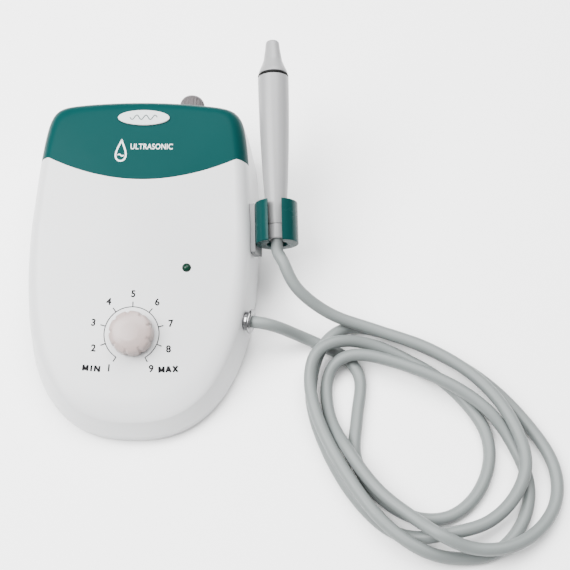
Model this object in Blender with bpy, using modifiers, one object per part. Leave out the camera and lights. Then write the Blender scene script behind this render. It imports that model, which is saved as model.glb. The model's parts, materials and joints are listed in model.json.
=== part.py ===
"""Tabletop ultrasonic scaler: casing, water and power parts, holder, handpiece and hand lead.

Metres, +Z up. The table is z = 0, the low front of the casing faces -Y, the holder is on +X.
Everything is placed from the casing's mid-plane x = 0 and then carried by one parent empty, which
moves the centre of the unit's footprint to the world's origin.
"""
import math

import bmesh
import bpy
from mathutils import Matrix, Vector

# ---------------------------------------------------------------- driving dimensions
CENTRE = Vector((0.0136, 0.0154, 0.0))       # footprint centre, seen from the casing's mid-plane
GAP = 0.0003                                  # clearance between pieces that touch

# Casing: a superellipse in plan, steeper at the rear, with a face that rises to the rear
HALF_WIDTH = 0.0752
MIDDLE_Y = 0.010
FRONT_REACH = 0.1234
REAR_REACH = 0.0978
FRONT_POWER = 2.45
REAR_POWER = 15.0
REAR_TAPER = 0.095
REAR_LEAN = 0.015
REAR_BOW = 0.057
FACE_HEIGHT = 0.0499
FACE_SLOPE = 0.287
CROWN = 0.004
WALL = 0.0025
TRAY_BOTTOM = 0.002
SPLIT_Z = 0.008
CASING_SIDES = 60

# Rear cover, in the plane of the face
COVER_SKIRT = 0.012
COVER_EDGE_MIDDLE = 0.0445
COVER_EDGE_KINK = Vector((0.0617, 0.0600))

# Connection panel in the rear wall
PANEL_HALF_WIDTH = 0.0474
PANEL_LOW = 0.0163
PANEL_HIGH = 0.0527
PANEL_OUTER_Y = 0.1020
PANEL_THICKNESS = 0.0025
CONNECTOR_Z = 0.034
SWITCH_X = -0.036
POWER_X = -0.013
FOOT_X = 0.007
WATER_KNOB = Vector((0.027, 0.0, 0.0460))
WATER_INLET = Vector((0.0405, 0.0, 0.0245))

# Dial and lamp on the face
DIAL_Y = -0.0562
KNOB_RADIUS = 0.0140
KNOB_HEIGHT = 0.0120
FLUTES = 9
LAMP = (0.0323, -0.0144)
BADGE_Y = 0.0836

# Gland of the hand lead on the right wall, at a height fraction of the wall
GLAND_TURN = math.radians(-23.3)
GLAND_RISE = 0.55

# Handpiece: its axis starts at the tail's end and climbs to the nose
TAIL = Vector((0.0886, 0.0114, 0.0420))
AXIS = Vector((-0.0424, 0.9554, 0.2924)).normalized()
HANDPIECE_LENGTH = 0.1385
COLLAR_LENGTH = 0.010
SEAL_START = 0.1120
SEAL_LENGTH = 0.0024
SEAL_RADIUS = 0.0104

# C-shaped holder on the handpiece's axis
CLIP_LOW = -0.003
CLIP_HIGH = 0.0245
CLIP_RADIUS = 0.014
CLIP_SLOT = 0.009
CLIP_LEAN = math.radians(-4.0)

# Hand lead
LEAD_RADIUS = 0.0039
LEAD_POINTS = 80
BEND_SHARE = 0.05                             # length that one radian of bend counts for


# ---------------------------------------------------------------- scene and materials
def clear_scene():
    """Removes every object of the scene."""
    for old in list(bpy.data.objects):
        bpy.data.objects.remove(old)


def new_collection(name):
    """A collection linked to the scene."""
    collection = bpy.data.collections.new(name)
    bpy.context.scene.collection.children.link(collection)
    return collection


def material(name, colour, roughness, metallic=0.0):
    """A plain Principled material."""
    made = bpy.data.materials.new(name)
    made.use_nodes = True
    shader = made.node_tree.nodes["Principled BSDF"]
    shader.inputs["Base Color"].default_value = (*colour, 1.0)
    shader.inputs["Roughness"].default_value = roughness
    shader.inputs["Metallic"].default_value = metallic
    made.diffuse_color = (*colour, 1.0)
    return made


clear_scene()
PARTS = new_collection("ultrasonic_scaler")
CUTTERS = new_collection("cutters")

ORIGIN = bpy.data.objects.new("unit_origin", None)
ORIGIN.location = -CENTRE
PARTS.objects.link(ORIGIN)

WHITE = material("white_plastic", (0.80, 0.81, 0.82), 0.28)
GREEN = material("green_plastic", (0.015, 0.19, 0.17), 0.25)
CLIP_GREEN = material("clip_green_plastic", (0.012, 0.13, 0.11), 0.30)
PALE = material("pale_print", (0.85, 0.87, 0.87), 0.35)
KNOB_GREY = material("knob_plastic", (0.66, 0.60, 0.60), 0.45)
DARK_GREY = material("grey_plastic", (0.25, 0.23, 0.24), 0.45)
BLACK = material("black_plastic", (0.02, 0.02, 0.02), 0.5)
LAMP_GREEN = material("lamp_green", (0.01, 0.10, 0.05), 0.12)
LEAD_GREY = material("silicone_grey", (0.42, 0.45, 0.45), 0.55)
HAND_GREY = material("handpiece_plastic", (0.62, 0.62, 0.63), 0.38)
FOOT_RUBBER = material("foot_rubber", (0.02, 0.02, 0.02), 0.8)
SEAL_BLACK = material("seal_rubber", (0.015, 0.015, 0.015), 0.6)
CHROME = material("chromed_brass", (0.75, 0.75, 0.76), 0.12, 1.0)
BRASS = material("brass", (0.72, 0.55, 0.25), 0.3, 1.0)
STEEL = material("steel", (0.60, 0.60, 0.60), 0.35, 1.0)
ALUMINIUM = material("aluminium", (0.70, 0.70, 0.72), 0.4, 1.0)
BOARD_GREEN = material("board_green", (0.02, 0.20, 0.08), 0.4)
COPPER = material("copper_winding", (0.60, 0.28, 0.12), 0.35, 1.0)
CERAMIC = material("piezo_ceramic", (0.55, 0.50, 0.42), 0.6)
TUBE_CLEAR = material("water_tube", (0.70, 0.75, 0.78), 0.3)


# ---------------------------------------------------------------- shape helpers
def smooth_edges(mesh):
    """Smooth shading with creases at the hard edges."""
    mesh.shade_smooth()
    mesh.set_sharp_from_angle(angle=math.radians(35.0))


def place(obj, name, finish, spot=None, cutter=False):
    """Names an object, gives it its finish and hangs it on the unit's origin."""
    obj.name = name
    obj.parent = ORIGIN
    if spot is not None:
        obj.matrix_basis = spot
    if cutter:
        CUTTERS.objects.link(obj)
        obj.hide_render = True
        obj.display_type = 'WIRE'
    else:
        PARTS.objects.link(obj)
        obj.data.materials.clear()
        obj.data.materials.append(finish)
    return obj


def from_bmesh(name, shape, finish=None, spot=None, cutter=False):
    """An object made from a bmesh, which is freed."""
    mesh = bpy.data.meshes.new(name)
    shape.to_mesh(mesh)
    shape.free()
    smooth_edges(mesh)
    return place(bpy.data.objects.new(name, mesh), name, finish, spot, cutter)


def box(name, size, centre, finish=None, turn=None, cutter=False, bevel=0.0):
    """A box of a size about a centre, with rounded edges where a bevel is given."""
    shape = bmesh.new()
    bmesh.ops.create_cube(shape, size=1.0, matrix=Matrix.Diagonal((*size, 1.0)))
    spot = Matrix.Translation(centre) @ (turn or Matrix.Identity(4))
    made = from_bmesh(name, shape, finish, spot, cutter)
    if bevel:
        rounding = made.modifiers.new("edges", 'BEVEL')
        rounding.width = bevel
        rounding.segments = 2
    return made


def along(point, direction, lean=0.0):
    """A frame at a point whose Z runs along a direction, with Y as near world up as can be."""
    z_axis = Vector(direction).normalized()
    side = Vector((0.0, 0.0, 1.0)).cross(z_axis)
    if side.length < 1e-6:
        side = Vector((1.0, 0.0, 0.0))
    side.normalize()
    up = z_axis.cross(side)
    frame = Matrix((side, up, z_axis)).transposed().to_4x4()
    return Matrix.Translation(point) @ frame @ Matrix.Rotation(lean, 4, 'Z')


def cylinder(name, radius, start, end, finish=None, spot=None, sides=20, cutter=False, tip=None):
    """A round bar or cone along the local Z from start to end."""
    shape = bmesh.new()
    centre = Matrix.Translation((0.0, 0.0, (start + end) / 2))
    bmesh.ops.create_cone(shape, cap_ends=True, segments=sides, radius1=radius,
                          radius2=radius if tip is None else tip, depth=end - start, matrix=centre)
    return from_bmesh(name, shape, finish, spot, cutter)


def turned(name, profile, finish=None, spot=None, steps=32, closed=False, cutter=False):
    """A turned piece. The profile is (radius, height) down the outer side, from top to bottom."""
    mesh = bpy.data.meshes.new(name)
    points = [(radius, 0.0, height) for radius, height in profile]
    edges = [(i, i + 1) for i in range(len(points) - 1)]
    if closed:
        edges.append((len(points) - 1, 0))
    mesh.from_pydata(points, edges, [])
    made = place(bpy.data.objects.new(name, mesh), name, finish, spot, cutter)
    screw = made.modifiers.new("turn", 'SCREW')
    screw.axis = 'Z'
    screw.steps = steps
    screw.render_steps = steps
    screw.use_merge_vertices = True
    screw.merge_threshold = 0.00001
    return made


def combine(obj, other, operation):
    """Adds a Boolean of another object to an object."""
    boolean = obj.modifiers.new(operation.lower(), 'BOOLEAN')
    boolean.operation = operation
    boolean.solver = 'EXACT'
    boolean.object = other
    return obj


def cut(obj, *cutters):
    """Cuts each cutter out of an object."""
    for cutter in cutters:
        combine(obj, cutter, 'DIFFERENCE')
    return obj


def drill(obj, radius, point, direction, start, end, sides=20):
    """Cuts a round hole along a direction through a point."""
    name = obj.name + "_hole"
    return cut(obj, cylinder(name, radius, start, end, spot=along(point, direction), sides=sides,
                             cutter=True))


def flat_outline(name, points, thickness):
    """A closed flat outline with a thickness, as a mesh whose middle plane is local z = 0."""
    curve = bpy.data.curves.new(name, 'CURVE')
    curve.dimensions = '2D'
    curve.fill_mode = 'BOTH'
    curve.extrude = thickness / 2
    spline = curve.splines.new('POLY')
    spline.points.add(len(points) - 1)
    for spline_point, (x, y) in zip(spline.points, points):
        spline_point.co = (x, y, 0.0, 1.0)
    spline.use_cyclic_u = True
    return curve_to_bmesh(curve)


def curve_to_bmesh(curve):
    """The welded mesh of a curve, as a bmesh. The curve is removed."""
    holder = bpy.data.objects.new(curve.name + "_curve", curve)
    bpy.context.scene.collection.objects.link(holder)
    evaluated = holder.evaluated_get(bpy.context.evaluated_depsgraph_get())
    mesh = bpy.data.meshes.new_from_object(evaluated)
    shape = bmesh.new()
    shape.from_mesh(mesh)
    bmesh.ops.remove_doubles(shape, verts=shape.verts, dist=0.000001)
    bmesh.ops.recalc_face_normals(shape, faces=shape.faces)
    bpy.data.objects.remove(holder)
    bpy.data.meshes.remove(mesh)
    bpy.data.curves.remove(curve)
    return shape


def tube(name, points, radius, finish, resolution=2):
    """A round tube with closed ends along a list of points."""
    curve = bpy.data.curves.new(name, 'CURVE')
    curve.dimensions = '3D'
    curve.bevel_depth = radius
    curve.bevel_resolution = resolution
    curve.use_fill_caps = True
    spline = curve.splines.new('POLY')
    spline.points.add(len(points) - 1)
    for spline_point, point in zip(spline.points, points):
        spline_point.co = (*point, 1.0)
    return place(bpy.data.objects.new(name, curve), name, finish)


def smooth_path(route, count):
    """Points on a smooth curve through the route's points, closer together where it bends."""
    route = [Vector(point) for point in route]
    ends = [2 * route[0] - route[1], *route, 2 * route[-1] - route[-2]]
    fine = []
    for before, start, end, after in zip(ends, ends[1:], ends[2:], ends[3:]):
        knots = [0.0]
        for first, second in ((before, start), (start, end), (end, after)):
            knots.append(knots[-1] + math.sqrt((second - first).length))
        for step in range(12):
            at = knots[1] + (knots[2] - knots[1]) * step / 12
            fine.append(catmull_rom((before, start, end, after), knots, at))
    fine.append(route[-1])
    walked = [0.0]
    for first, second, third in zip(fine, fine[1:], [*fine[2:], None]):
        bend = (third - second).angle(second - first) if third else 0.0
        walked.append(walked[-1] + (second - first).length + BEND_SHARE * bend)
    even = []
    segment = 0
    for step in range(count):
        target = walked[-1] * step / (count - 1)
        while segment < len(fine) - 2 and walked[segment + 1] < target:
            segment += 1
        share = (target - walked[segment]) / (walked[segment + 1] - walked[segment])
        even.append(fine[segment].lerp(fine[segment + 1], min(share, 1.0)))
    return even


def catmull_rom(points, knots, at):
    """One point of a Catmull-Rom curve through four points at their knots."""
    level = list(points)
    for reach in (1, 2, 3):
        blended = []
        for i in range(len(level) - 1):
            low = knots[i] if reach < 3 else knots[1]
            high = knots[i + reach] if reach < 3 else knots[2]
            if reach == 1:
                low, high = knots[i], knots[i + 1]
            blended.append(level[i].lerp(level[i + 1], (at - low) / (high - low)))
        level = blended
    return level[0]


# ---------------------------------------------------------------- casing form
def casing_point(turn, scale, rise, inset=0.0):
    """A point of the casing's outer form.

    turn is the plan direction, scale the share of the full plan, rise the share of the wall's height.
    inset shrinks the whole form, for its inner face.
    """
    cosine = math.cos(turn)
    sine = math.sin(turn)
    to_rear = min(max(sine / 0.35, 0.0), 1.0)
    to_rear = to_rear * to_rear * (3.0 - 2.0 * to_rear)
    power = FRONT_POWER + (REAR_POWER - FRONT_POWER) * to_rear
    radius = (abs(cosine) ** power + abs(sine) ** power) ** (-1.0 / power)
    reach = (REAR_REACH if sine > 0 else FRONT_REACH) - inset
    x = (HALF_WIDTH - inset) * radius * cosine
    y = reach * radius * sine
    taper = 1.0 - REAR_TAPER * max(y / REAR_REACH, 0.0) ** 2.4
    lean = 1.0 - REAR_LEAN * to_rear * rise
    bow = 1.0 - REAR_BOW * to_rear * rise * (x / HALF_WIDTH) ** 2
    x *= taper * scale * lean
    y = MIDDLE_Y + y * scale * lean * bow
    top = FACE_HEIGHT - inset + FACE_SLOPE * y
    z = SPLIT_Z + (top - SPLIT_Z) * rise + CROWN * (1.0 - scale * scale)
    return Vector((x, y, z))


def casing_stations():
    """(scale, rise) of each ring of the casing: drafted wall, rounded edge, crowned face."""
    wall = [(1.0, 0.0), (0.976, 0.5)]
    edge = []
    for step in range(5):
        angle = math.radians(22.5 * step)
        edge.append((0.82 + 0.135 * math.cos(angle), 0.72 + 0.28 * math.sin(angle)))
    face = [(0.6, 1.0), (0.3, 1.0)]
    return wall + edge + face


def casing_solid(name, inset=0.0, floor=SPLIT_Z, finish=None, cutter=False):
    """The casing's form as one closed solid that ends on a flat floor."""
    shape = bmesh.new()
    turns = [2 * math.pi * i / CASING_SIDES for i in range(CASING_SIDES)]
    rings = [[casing_point(turn, scale, rise, inset) for turn in turns]
             for scale, rise in casing_stations()]
    base = [Vector((point.x, point.y, floor)) for point in rings[0]]
    if floor < SPLIT_Z:
        rings.insert(0, base)
    else:
        rings[0] = base
    loops = [[shape.verts.new(point) for point in ring] for ring in rings]
    for lower, upper in zip(loops, loops[1:]):
        for i in range(CASING_SIDES):
            after = (i + 1) % CASING_SIDES
            shape.faces.new((lower[i], lower[after], upper[after], upper[i]))
    peak = shape.verts.new((0.0, MIDDLE_Y, casing_point(0.0, 0.0, 1.0, inset).z))
    for i in range(CASING_SIDES):
        shape.faces.new((loops[-1][i], loops[-1][(i + 1) % CASING_SIDES], peak))
    shape.faces.new(list(reversed(loops[0])))
    return from_bmesh(name, shape, finish, cutter=cutter)


def face_height(x, y):
    """Height of the crowned face over a point of the plan."""
    reach = REAR_REACH * (1.0 - REAR_LEAN) if y > MIDDLE_Y else FRONT_REACH
    share = (x / HALF_WIDTH) ** 2 + ((y - MIDDLE_Y) / reach) ** 2
    return FACE_HEIGHT + FACE_SLOPE * y + CROWN * (1.0 - share)


def on_face(x, y, lift=0.0):
    """A frame on the face whose Z leaves the face and whose Y climbs it."""
    step = 0.001
    rise_x = (face_height(x + step, y) - face_height(x - step, y)) / (2 * step)
    rise_y = (face_height(x, y + step) - face_height(x, y - step)) / (2 * step)
    normal = Vector((-rise_x, -rise_y, 1.0)).normalized()
    point = Vector((x, y, face_height(x, y))) + normal * lift
    return along(point, normal)


def cover_region(name, inset):
    """A cutter that holds the rear cover: behind a bowed edge and above a skirt line."""
    kink_x, kink_y = COVER_EDGE_KINK
    outline = []
    for step in range(13):
        share = step / 6.0 - 1.0
        bow = kink_y - (kink_y - COVER_EDGE_MIDDLE) * (1.0 - share * share)
        outline.append((kink_x * share, bow + inset))
    outline.append((0.09, kink_y - 0.002 + inset))
    outline.append((0.09, 0.14))
    outline.append((-0.09, 0.14))
    outline.append((-0.09, kink_y - 0.002 + inset))
    depth = 0.05
    shape = flat_outline(name, outline, depth)
    slope = Matrix.Rotation(math.atan(FACE_SLOPE), 4, 'X')
    drop = Matrix.Translation((0.0, 0.0, FACE_HEIGHT))
    raise_up = Matrix.Translation((0.0, 0.0, depth / 2 - COVER_SKIRT + inset))
    return from_bmesh(name, shape, spot=drop @ slope @ raise_up, cutter=True)


# ---------------------------------------------------------------- casing pieces
CASE_SCREWS = [(-0.044, -0.060), (0.044, -0.060), (-0.056, 0.072), (0.056, 0.072)]
BOARD_SCREWS = [(-0.050, -0.022), (0.020, -0.022), (-0.050, 0.060), (0.020, 0.060)]
BOARD_LOW = 0.0095
BOARD_THICKNESS = 0.0016
TRAY_FLOOR = 0.0045


def panel_window(name, margin):
    """A cutter for the window that holds the connection panel."""
    size = (2 * (PANEL_HALF_WIDTH + margin), 0.03, PANEL_HIGH - PANEL_LOW + 2 * margin)
    centre = (0.0, PANEL_OUTER_Y + 0.003, (PANEL_HIGH + PANEL_LOW) / 2)
    return box(name, size, centre, cutter=True)


def gland_frame():
    """A frame on the right wall whose Z leaves the casing where the lead comes out."""
    scale = 1.0 - 0.048 * GLAND_RISE
    step = 0.01
    point = casing_point(GLAND_TURN, scale, GLAND_RISE)
    round_the_wall = (casing_point(GLAND_TURN + step, scale, GLAND_RISE)
                      - casing_point(GLAND_TURN - step, scale, GLAND_RISE))
    up_the_wall = (casing_point(GLAND_TURN, scale - 0.005, GLAND_RISE + 0.1) - point)
    return along(point, round_the_wall.cross(up_the_wall))


def make_shell_and_cover():
    """The white upper shell with its bosses and openings, and the green rear cover."""
    inside = casing_solid("casing_inside", inset=WALL, floor=0.0, cutter=True)
    shell = casing_solid("upper_shell", finish=WHITE, floor=SPLIT_Z + GAP)
    cut(shell, inside, cover_region("cover_notch", 0.0), panel_window("panel_window", GAP))
    for i, (x, y) in enumerate(CASE_SCREWS):
        top = face_height(x, y) - WALL / 2
        boss = cylinder(f"boss_{i}", 0.0036, 0.0105, top, cutter=True,
                        spot=Matrix.Translation((x, y, 0.0)), sides=12)
        if i > 1:
            boss = boss_to_wall(boss, x, y, 0.030)
        combine(shell, boss, 'UNION')
        drill(shell, 0.0015, (x, y, 0.0), (0, 0, 1), 0.008, 0.024, sides=10)
    dial = on_face(0.0, DIAL_Y)
    drill(shell, 0.0049, dial.translation, dial.col[2].to_3d(), -0.012, 0.012)
    lamp = on_face(*LAMP)
    drill(shell, 0.0029, lamp.translation, lamp.col[2].to_3d(), -0.012, 0.012, sides=16)
    gland = gland_frame()
    drill(shell, 0.0059, gland.translation, gland.col[2].to_3d(), -0.012, 0.012)
    drill(shell, 0.0018, holder_screw_point(), (1, 0, 0), -0.012, 0.012, sides=12)

    cover = casing_solid("rear_cover", finish=GREEN)
    combine(cover, cover_region("cover_keep", GAP), 'INTERSECT')
    cut(cover, inside)


def boss_to_wall(boss, x, y, top):
    """A rear boss: a short column with a web that runs into the side wall."""
    column = cylinder(boss.name + "_column", 0.0036, 0.0105, top, cutter=True,
                      spot=Matrix.Translation((x, y, 0.0)), sides=12)
    bpy.data.objects.remove(boss)
    side = 1 if x > 0 else -1
    web = box(column.name + "_web", (0.0128, 0.0022, top - 0.0115),
              (x + side * 0.0076, y, (top + 0.0105) / 2), cutter=True)
    return combine(column, web, 'UNION')


def make_tray():
    """The base tray with its standoffs, screw pads and foot seats."""
    tray = casing_solid("base_tray", inset=0.0006, floor=TRAY_BOTTOM, finish=WHITE)
    above = box("tray_above", (0.2, 0.3, 0.1), (0.0, 0.0, SPLIT_Z + 0.05), cutter=True)
    inside = casing_solid("tray_inside", inset=WALL + 0.0006, floor=TRAY_FLOOR, cutter=True)
    cut(tray, above, inside)
    for i, (x, y) in enumerate(BOARD_SCREWS):
        standoff = cylinder(f"standoff_{i}", 0.0030, 0.003, BOARD_LOW - GAP, cutter=True,
                            spot=Matrix.Translation((x, y, 0.0)), sides=12)
        combine(tray, standoff, 'UNION')
        drill(tray, 0.0015, (x, y, 0.0), (0, 0, 1), 0.004, 0.02, sides=10)
    for i, (x, y) in enumerate(CASE_SCREWS):
        pad = cylinder(f"screw_pad_{i}", 0.0052, 0.003, 0.0102, cutter=True,
                       spot=Matrix.Translation((x, y, 0.0)), sides=14)
        combine(tray, pad, 'UNION')
        drill(tray, 0.0018, (x, y, 0.0), (0, 0, 1), 0.0, 0.02, sides=10)
        drill(tray, 0.0036, (x, y, 0.0), (0, 0, 1), 0.0, 0.0045, sides=14)


def make_case_screws():
    """Four screws from below, each under a foot's side."""
    for i, (x, y) in enumerate(CASE_SCREWS, start=1):
        profile = [(0.0, 0.021), (0.0012, 0.020), (0.0012, 0.0045 - GAP), (0.0031, 0.0045 - GAP),
                   (0.0031, 0.0026), (0.0, 0.0026)]
        turned(f"case_screw_{i}", profile, STEEL, Matrix.Translation((x, y, 0.0)), steps=10)


def make_feet():
    """Four rubber feet under the tray."""
    for i, (x, y) in enumerate([(-0.040, -0.075), (0.040, -0.075), (-0.052, 0.085), (0.052, 0.085)],
                               start=1):
        top = TRAY_BOTTOM - GAP
        profile = [(0.0, top), (0.0060, top), (0.0060, 0.0005), (0.0055, 0.0), (0.0, 0.0)]
        turned(f"foot_{i}", profile, FOOT_RUBBER, Matrix.Translation((x, y, 0.0)), steps=20)


def make_badge():
    """The oval badge on the rear cover."""
    outline = []
    for step in range(28):
        angle = 2 * math.pi * step / 28
        outline.append((0.0170 * math.cos(angle), 0.0054 * math.sin(angle)))
    shape = flat_outline("badge_plate", outline, 0.0008)
    from_bmesh("badge_plate", shape, PALE, on_face(0.0, BADGE_Y, 0.0008))


# ---------------------------------------------------------------- dial and lamp
def make_dial():
    """Knob and shaft on the potentiometer's axis, with the potentiometer and its nut."""
    seat = on_face(0.0, DIAL_Y)
    low = 0.0012
    rim = low + KNOB_HEIGHT - 0.0032
    profile = [(0.0, low + KNOB_HEIGHT), (0.0060, low + KNOB_HEIGHT - 0.0003),
               (0.0105, low + KNOB_HEIGHT - 0.0012), (KNOB_RADIUS - 0.0012, rim + 0.0008),
               (KNOB_RADIUS - 0.0004, rim - 0.0006), (KNOB_RADIUS, low + 0.0006),
               (KNOB_RADIUS - 0.0004, low), (0.0098, low), (0.0098, low + 0.0045),
               (0.0033, low + 0.0045), (0.0033, low + 0.0100), (0.0, low + 0.0100)]
    knob = turned("power_knob", profile, KNOB_GREY, seat, steps=36)
    for i in range(FLUTES):
        angle = 2 * math.pi * (i + 0.5) / FLUTES
        spot = Matrix.Translation((math.cos(angle) * 0.0182, math.sin(angle) * 0.0182, 0.0))
        cut(knob, cylinder(f"flute_{i}", 0.0050, 0.0, 0.012, spot=seat @ spot, sides=16, cutter=True))
    turned("pot_shaft", [(0.0, 0.0108), (0.0030, 0.0108), (0.0030, -0.0085), (0.0, -0.0085)],
           STEEL, seat, steps=16)
    body = [(0.0, -0.0090), (0.0034, -0.0090), (0.0034, 0.0050), (0.0045, 0.0050),
            (0.0045, -0.0030), (0.0080, -0.0030), (0.0080, -0.0120), (0.0, -0.0120)]
    turned("pot_body", body, ALUMINIUM, seat, steps=20)
    nut = cylinder("pot_nut", 0.0078, 0.0004, 0.0026, BRASS, seat, sides=6)
    cut(nut, cylinder("pot_nut_bore", 0.0049, -0.001, 0.004, spot=seat, sides=20, cutter=True))


def make_lamp():
    """The lamp's dome and the ring that holds it."""
    seat = on_face(*LAMP)
    dome = [(0.0, 0.0014), (0.0010, 0.0012), (0.0019, 0.0007), (0.0025, -0.0002),
            (0.0025, -0.0072), (0.0, -0.0072)]
    turned("indicator_led", dome, LAMP_GREEN, seat, steps=20)
    ring = [(0.0029, -0.0032), (0.0046, -0.0032), (0.0046, -0.0066), (0.0029, -0.0066)]
    turned("led_holder", ring, BLACK, seat, steps=20, closed=True)


# ---------------------------------------------------------------- board and its parts
def make_board():
    """The main board with its screws and the parts soldered on it."""
    top = BOARD_LOW + BOARD_THICKNESS
    board = box("main_board", (0.082, 0.094, BOARD_THICKNESS),
                (-0.015, 0.019, BOARD_LOW + BOARD_THICKNESS / 2), BOARD_GREEN)
    for i, (x, y) in enumerate(BOARD_SCREWS, start=1):
        drill(board, 0.0016, (x, y, 0.0), (0, 0, 1), 0.0, 0.02, sides=12)
        head = top + GAP
        profile = [(0.0, head + 0.0018), (0.0026, head + 0.0016), (0.0028, head), (0.0012, head),
                   (0.0012, 0.0050), (0.0, 0.0050)]
        turned(f"board_screw_{i}", profile, STEEL, Matrix.Translation((x, y, 0.0)), steps=12)
    seat = top + GAP
    make_transformer(seat)
    make_heat_sink(seat)
    for i, (x, y, radius, height) in enumerate([(-0.040, 0.010, 0.0065, 0.022),
                                                (-0.040, 0.030, 0.0050, 0.016)], start=1):
        can = [(0.0, seat + height), (radius - 0.0006, seat + height), (radius, seat + height - 0.0006),
               (radius, seat + 0.0020), (radius - 0.0006, seat + 0.0014), (radius, seat), (0.0, seat)]
        turned(f"capacitor_{i}", can, BLACK, Matrix.Translation((x, y, 0.0)), steps=16)
    socket = box("board_connector", (0.020, 0.008, 0.009), (-0.010, -0.018, seat + 0.0045), PALE)
    cut(socket, box("connector_pocket", (0.017, 0.005, 0.010), (-0.010, -0.018, seat + 0.0065),
                    cutter=True))


def make_transformer(seat):
    """The output transformer: a core frame with a wound bobbin through its window."""
    centre = Vector((-0.014, 0.048, seat + 0.0105))
    core = box("transformer_core", (0.030, 0.010, 0.021), centre, BLACK)
    cut(core, box("core_window", (0.020, 0.03, 0.0115), centre, cutter=True))
    winding = cylinder("transformer_winding", 0.0052, -0.0085, 0.0085, COPPER,
                       along(centre, (0, 1, 0)), sides=24)
    return winding


def make_heat_sink(seat):
    """A finned heat sink with the power transistor on its flat back."""
    fins = 6
    pitch = 0.0050
    outline = [(-0.0150, 0.0)]
    for i in range(fins):
        left = -0.0150 + i * pitch * 1.11
        outline += [(left, 0.012), (left + 0.0018, 0.012), (left + 0.0018, 0.003)]
        if i < fins - 1:
            outline += [(left + pitch * 1.11, 0.003)]
    outline[-1] = (outline[-1][0], 0.0)
    shape = flat_outline("heat_sink", outline, 0.022)
    spot = Matrix.Translation((-0.012, 0.0235, seat + 0.011))
    from_bmesh("heat_sink", shape, ALUMINIUM, spot)
    box("power_transistor", (0.010, 0.0045, 0.016), (-0.012, 0.0209, seat + 0.008), BLACK)


# ---------------------------------------------------------------- rear connections
def rear(x, z, y=PANEL_OUTER_Y):
    """A frame on the connection panel whose Z leaves it to the rear."""
    return along((x, y, z), (0, 1, 0))


def make_panel():
    """The connection panel with its holes."""
    height = PANEL_HIGH - PANEL_LOW
    panel = box("rear_panel", (2 * PANEL_HALF_WIDTH, PANEL_THICKNESS, height),
                (0.0, PANEL_OUTER_Y - PANEL_THICKNESS / 2, PANEL_LOW + height / 2), DARK_GREY)
    for x, z, radius in ((POWER_X, CONNECTOR_Z, 0.0063), (FOOT_X, CONNECTOR_Z, 0.0063),
                         (WATER_KNOB.x, WATER_KNOB.z, 0.0043), (WATER_INLET.x, WATER_INLET.z, 0.0043)):
        drill(panel, radius, (x, PANEL_OUTER_Y, z), (0, 1, 0), -0.01, 0.01)
    cut(panel, box("switch_cutout", (0.0136, 0.02, 0.0196), (SWITCH_X, PANEL_OUTER_Y, CONNECTOR_Z),
                   cutter=True))


def make_sockets():
    """Power socket and foot switch socket, each a turned barrel with a pin in its cup."""
    power = [(0.0, 0.0060), (0.0010, 0.0055), (0.0010, -0.0035), (0.0042, -0.0035), (0.0042, 0.0110),
             (0.0058, 0.0110), (0.0058, 0.0026), (0.0078, 0.0026), (0.0078, GAP), (0.0060, GAP),
             (0.0060, -0.0110), (0.0, -0.0110)]
    turned("power_socket", power, BLACK, rear(POWER_X, CONNECTOR_Z), steps=20)
    foot = [(0.0, 0.0055), (0.0012, 0.0050), (0.0012, -0.0030), (0.0046, -0.0030), (0.0046, 0.0090),
            (0.0060, 0.0090), (0.0060, 0.0026), (0.0080, 0.0026), (0.0080, GAP), (0.0060, GAP),
            (0.0060, -0.0120), (0.0, -0.0120)]
    turned("foot_switch_socket", foot, STEEL, rear(FOOT_X, CONNECTOR_Z), steps=20)


def make_switch():
    """Rocker switch: a frame that clips into the panel and the rocker on its cross axis."""
    seat = Matrix.Translation((SWITCH_X, PANEL_OUTER_Y, CONNECTOR_Z))
    frame = box("switch_frame", (0.0130, 0.0130, 0.0190), seat @ Vector((0.0, -0.0060, 0.0)), BLACK)
    flange = box("switch_flange", (0.0150, 0.0018, 0.0210), seat @ Vector((0.0, GAP + 0.0009, 0.0)),
                 cutter=True)
    combine(frame, flange, 'UNION')
    cut(frame, box("switch_well", (0.0100, 0.0120, 0.0160), seat @ Vector((0.0, 0.0, 0.0)),
                   cutter=True))
    profile = [(-0.0068, 0.0032), (0.0, 0.0016), (0.0068, 0.0032), (0.0062, -0.0012), (0.0, -0.0034),
               (-0.0062, -0.0012)]
    shape = flat_outline("power_rocker", profile, 0.0092)
    upright = Matrix((Vector((0, 0, 1)), Vector((0, 1, 0)), Vector((-1, 0, 0)))).transposed().to_4x4()
    tilt = Matrix.Rotation(math.radians(-8.0), 4, 'X')
    from_bmesh("power_rocker", shape, BLACK, seat @ tilt @ upright)


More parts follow.
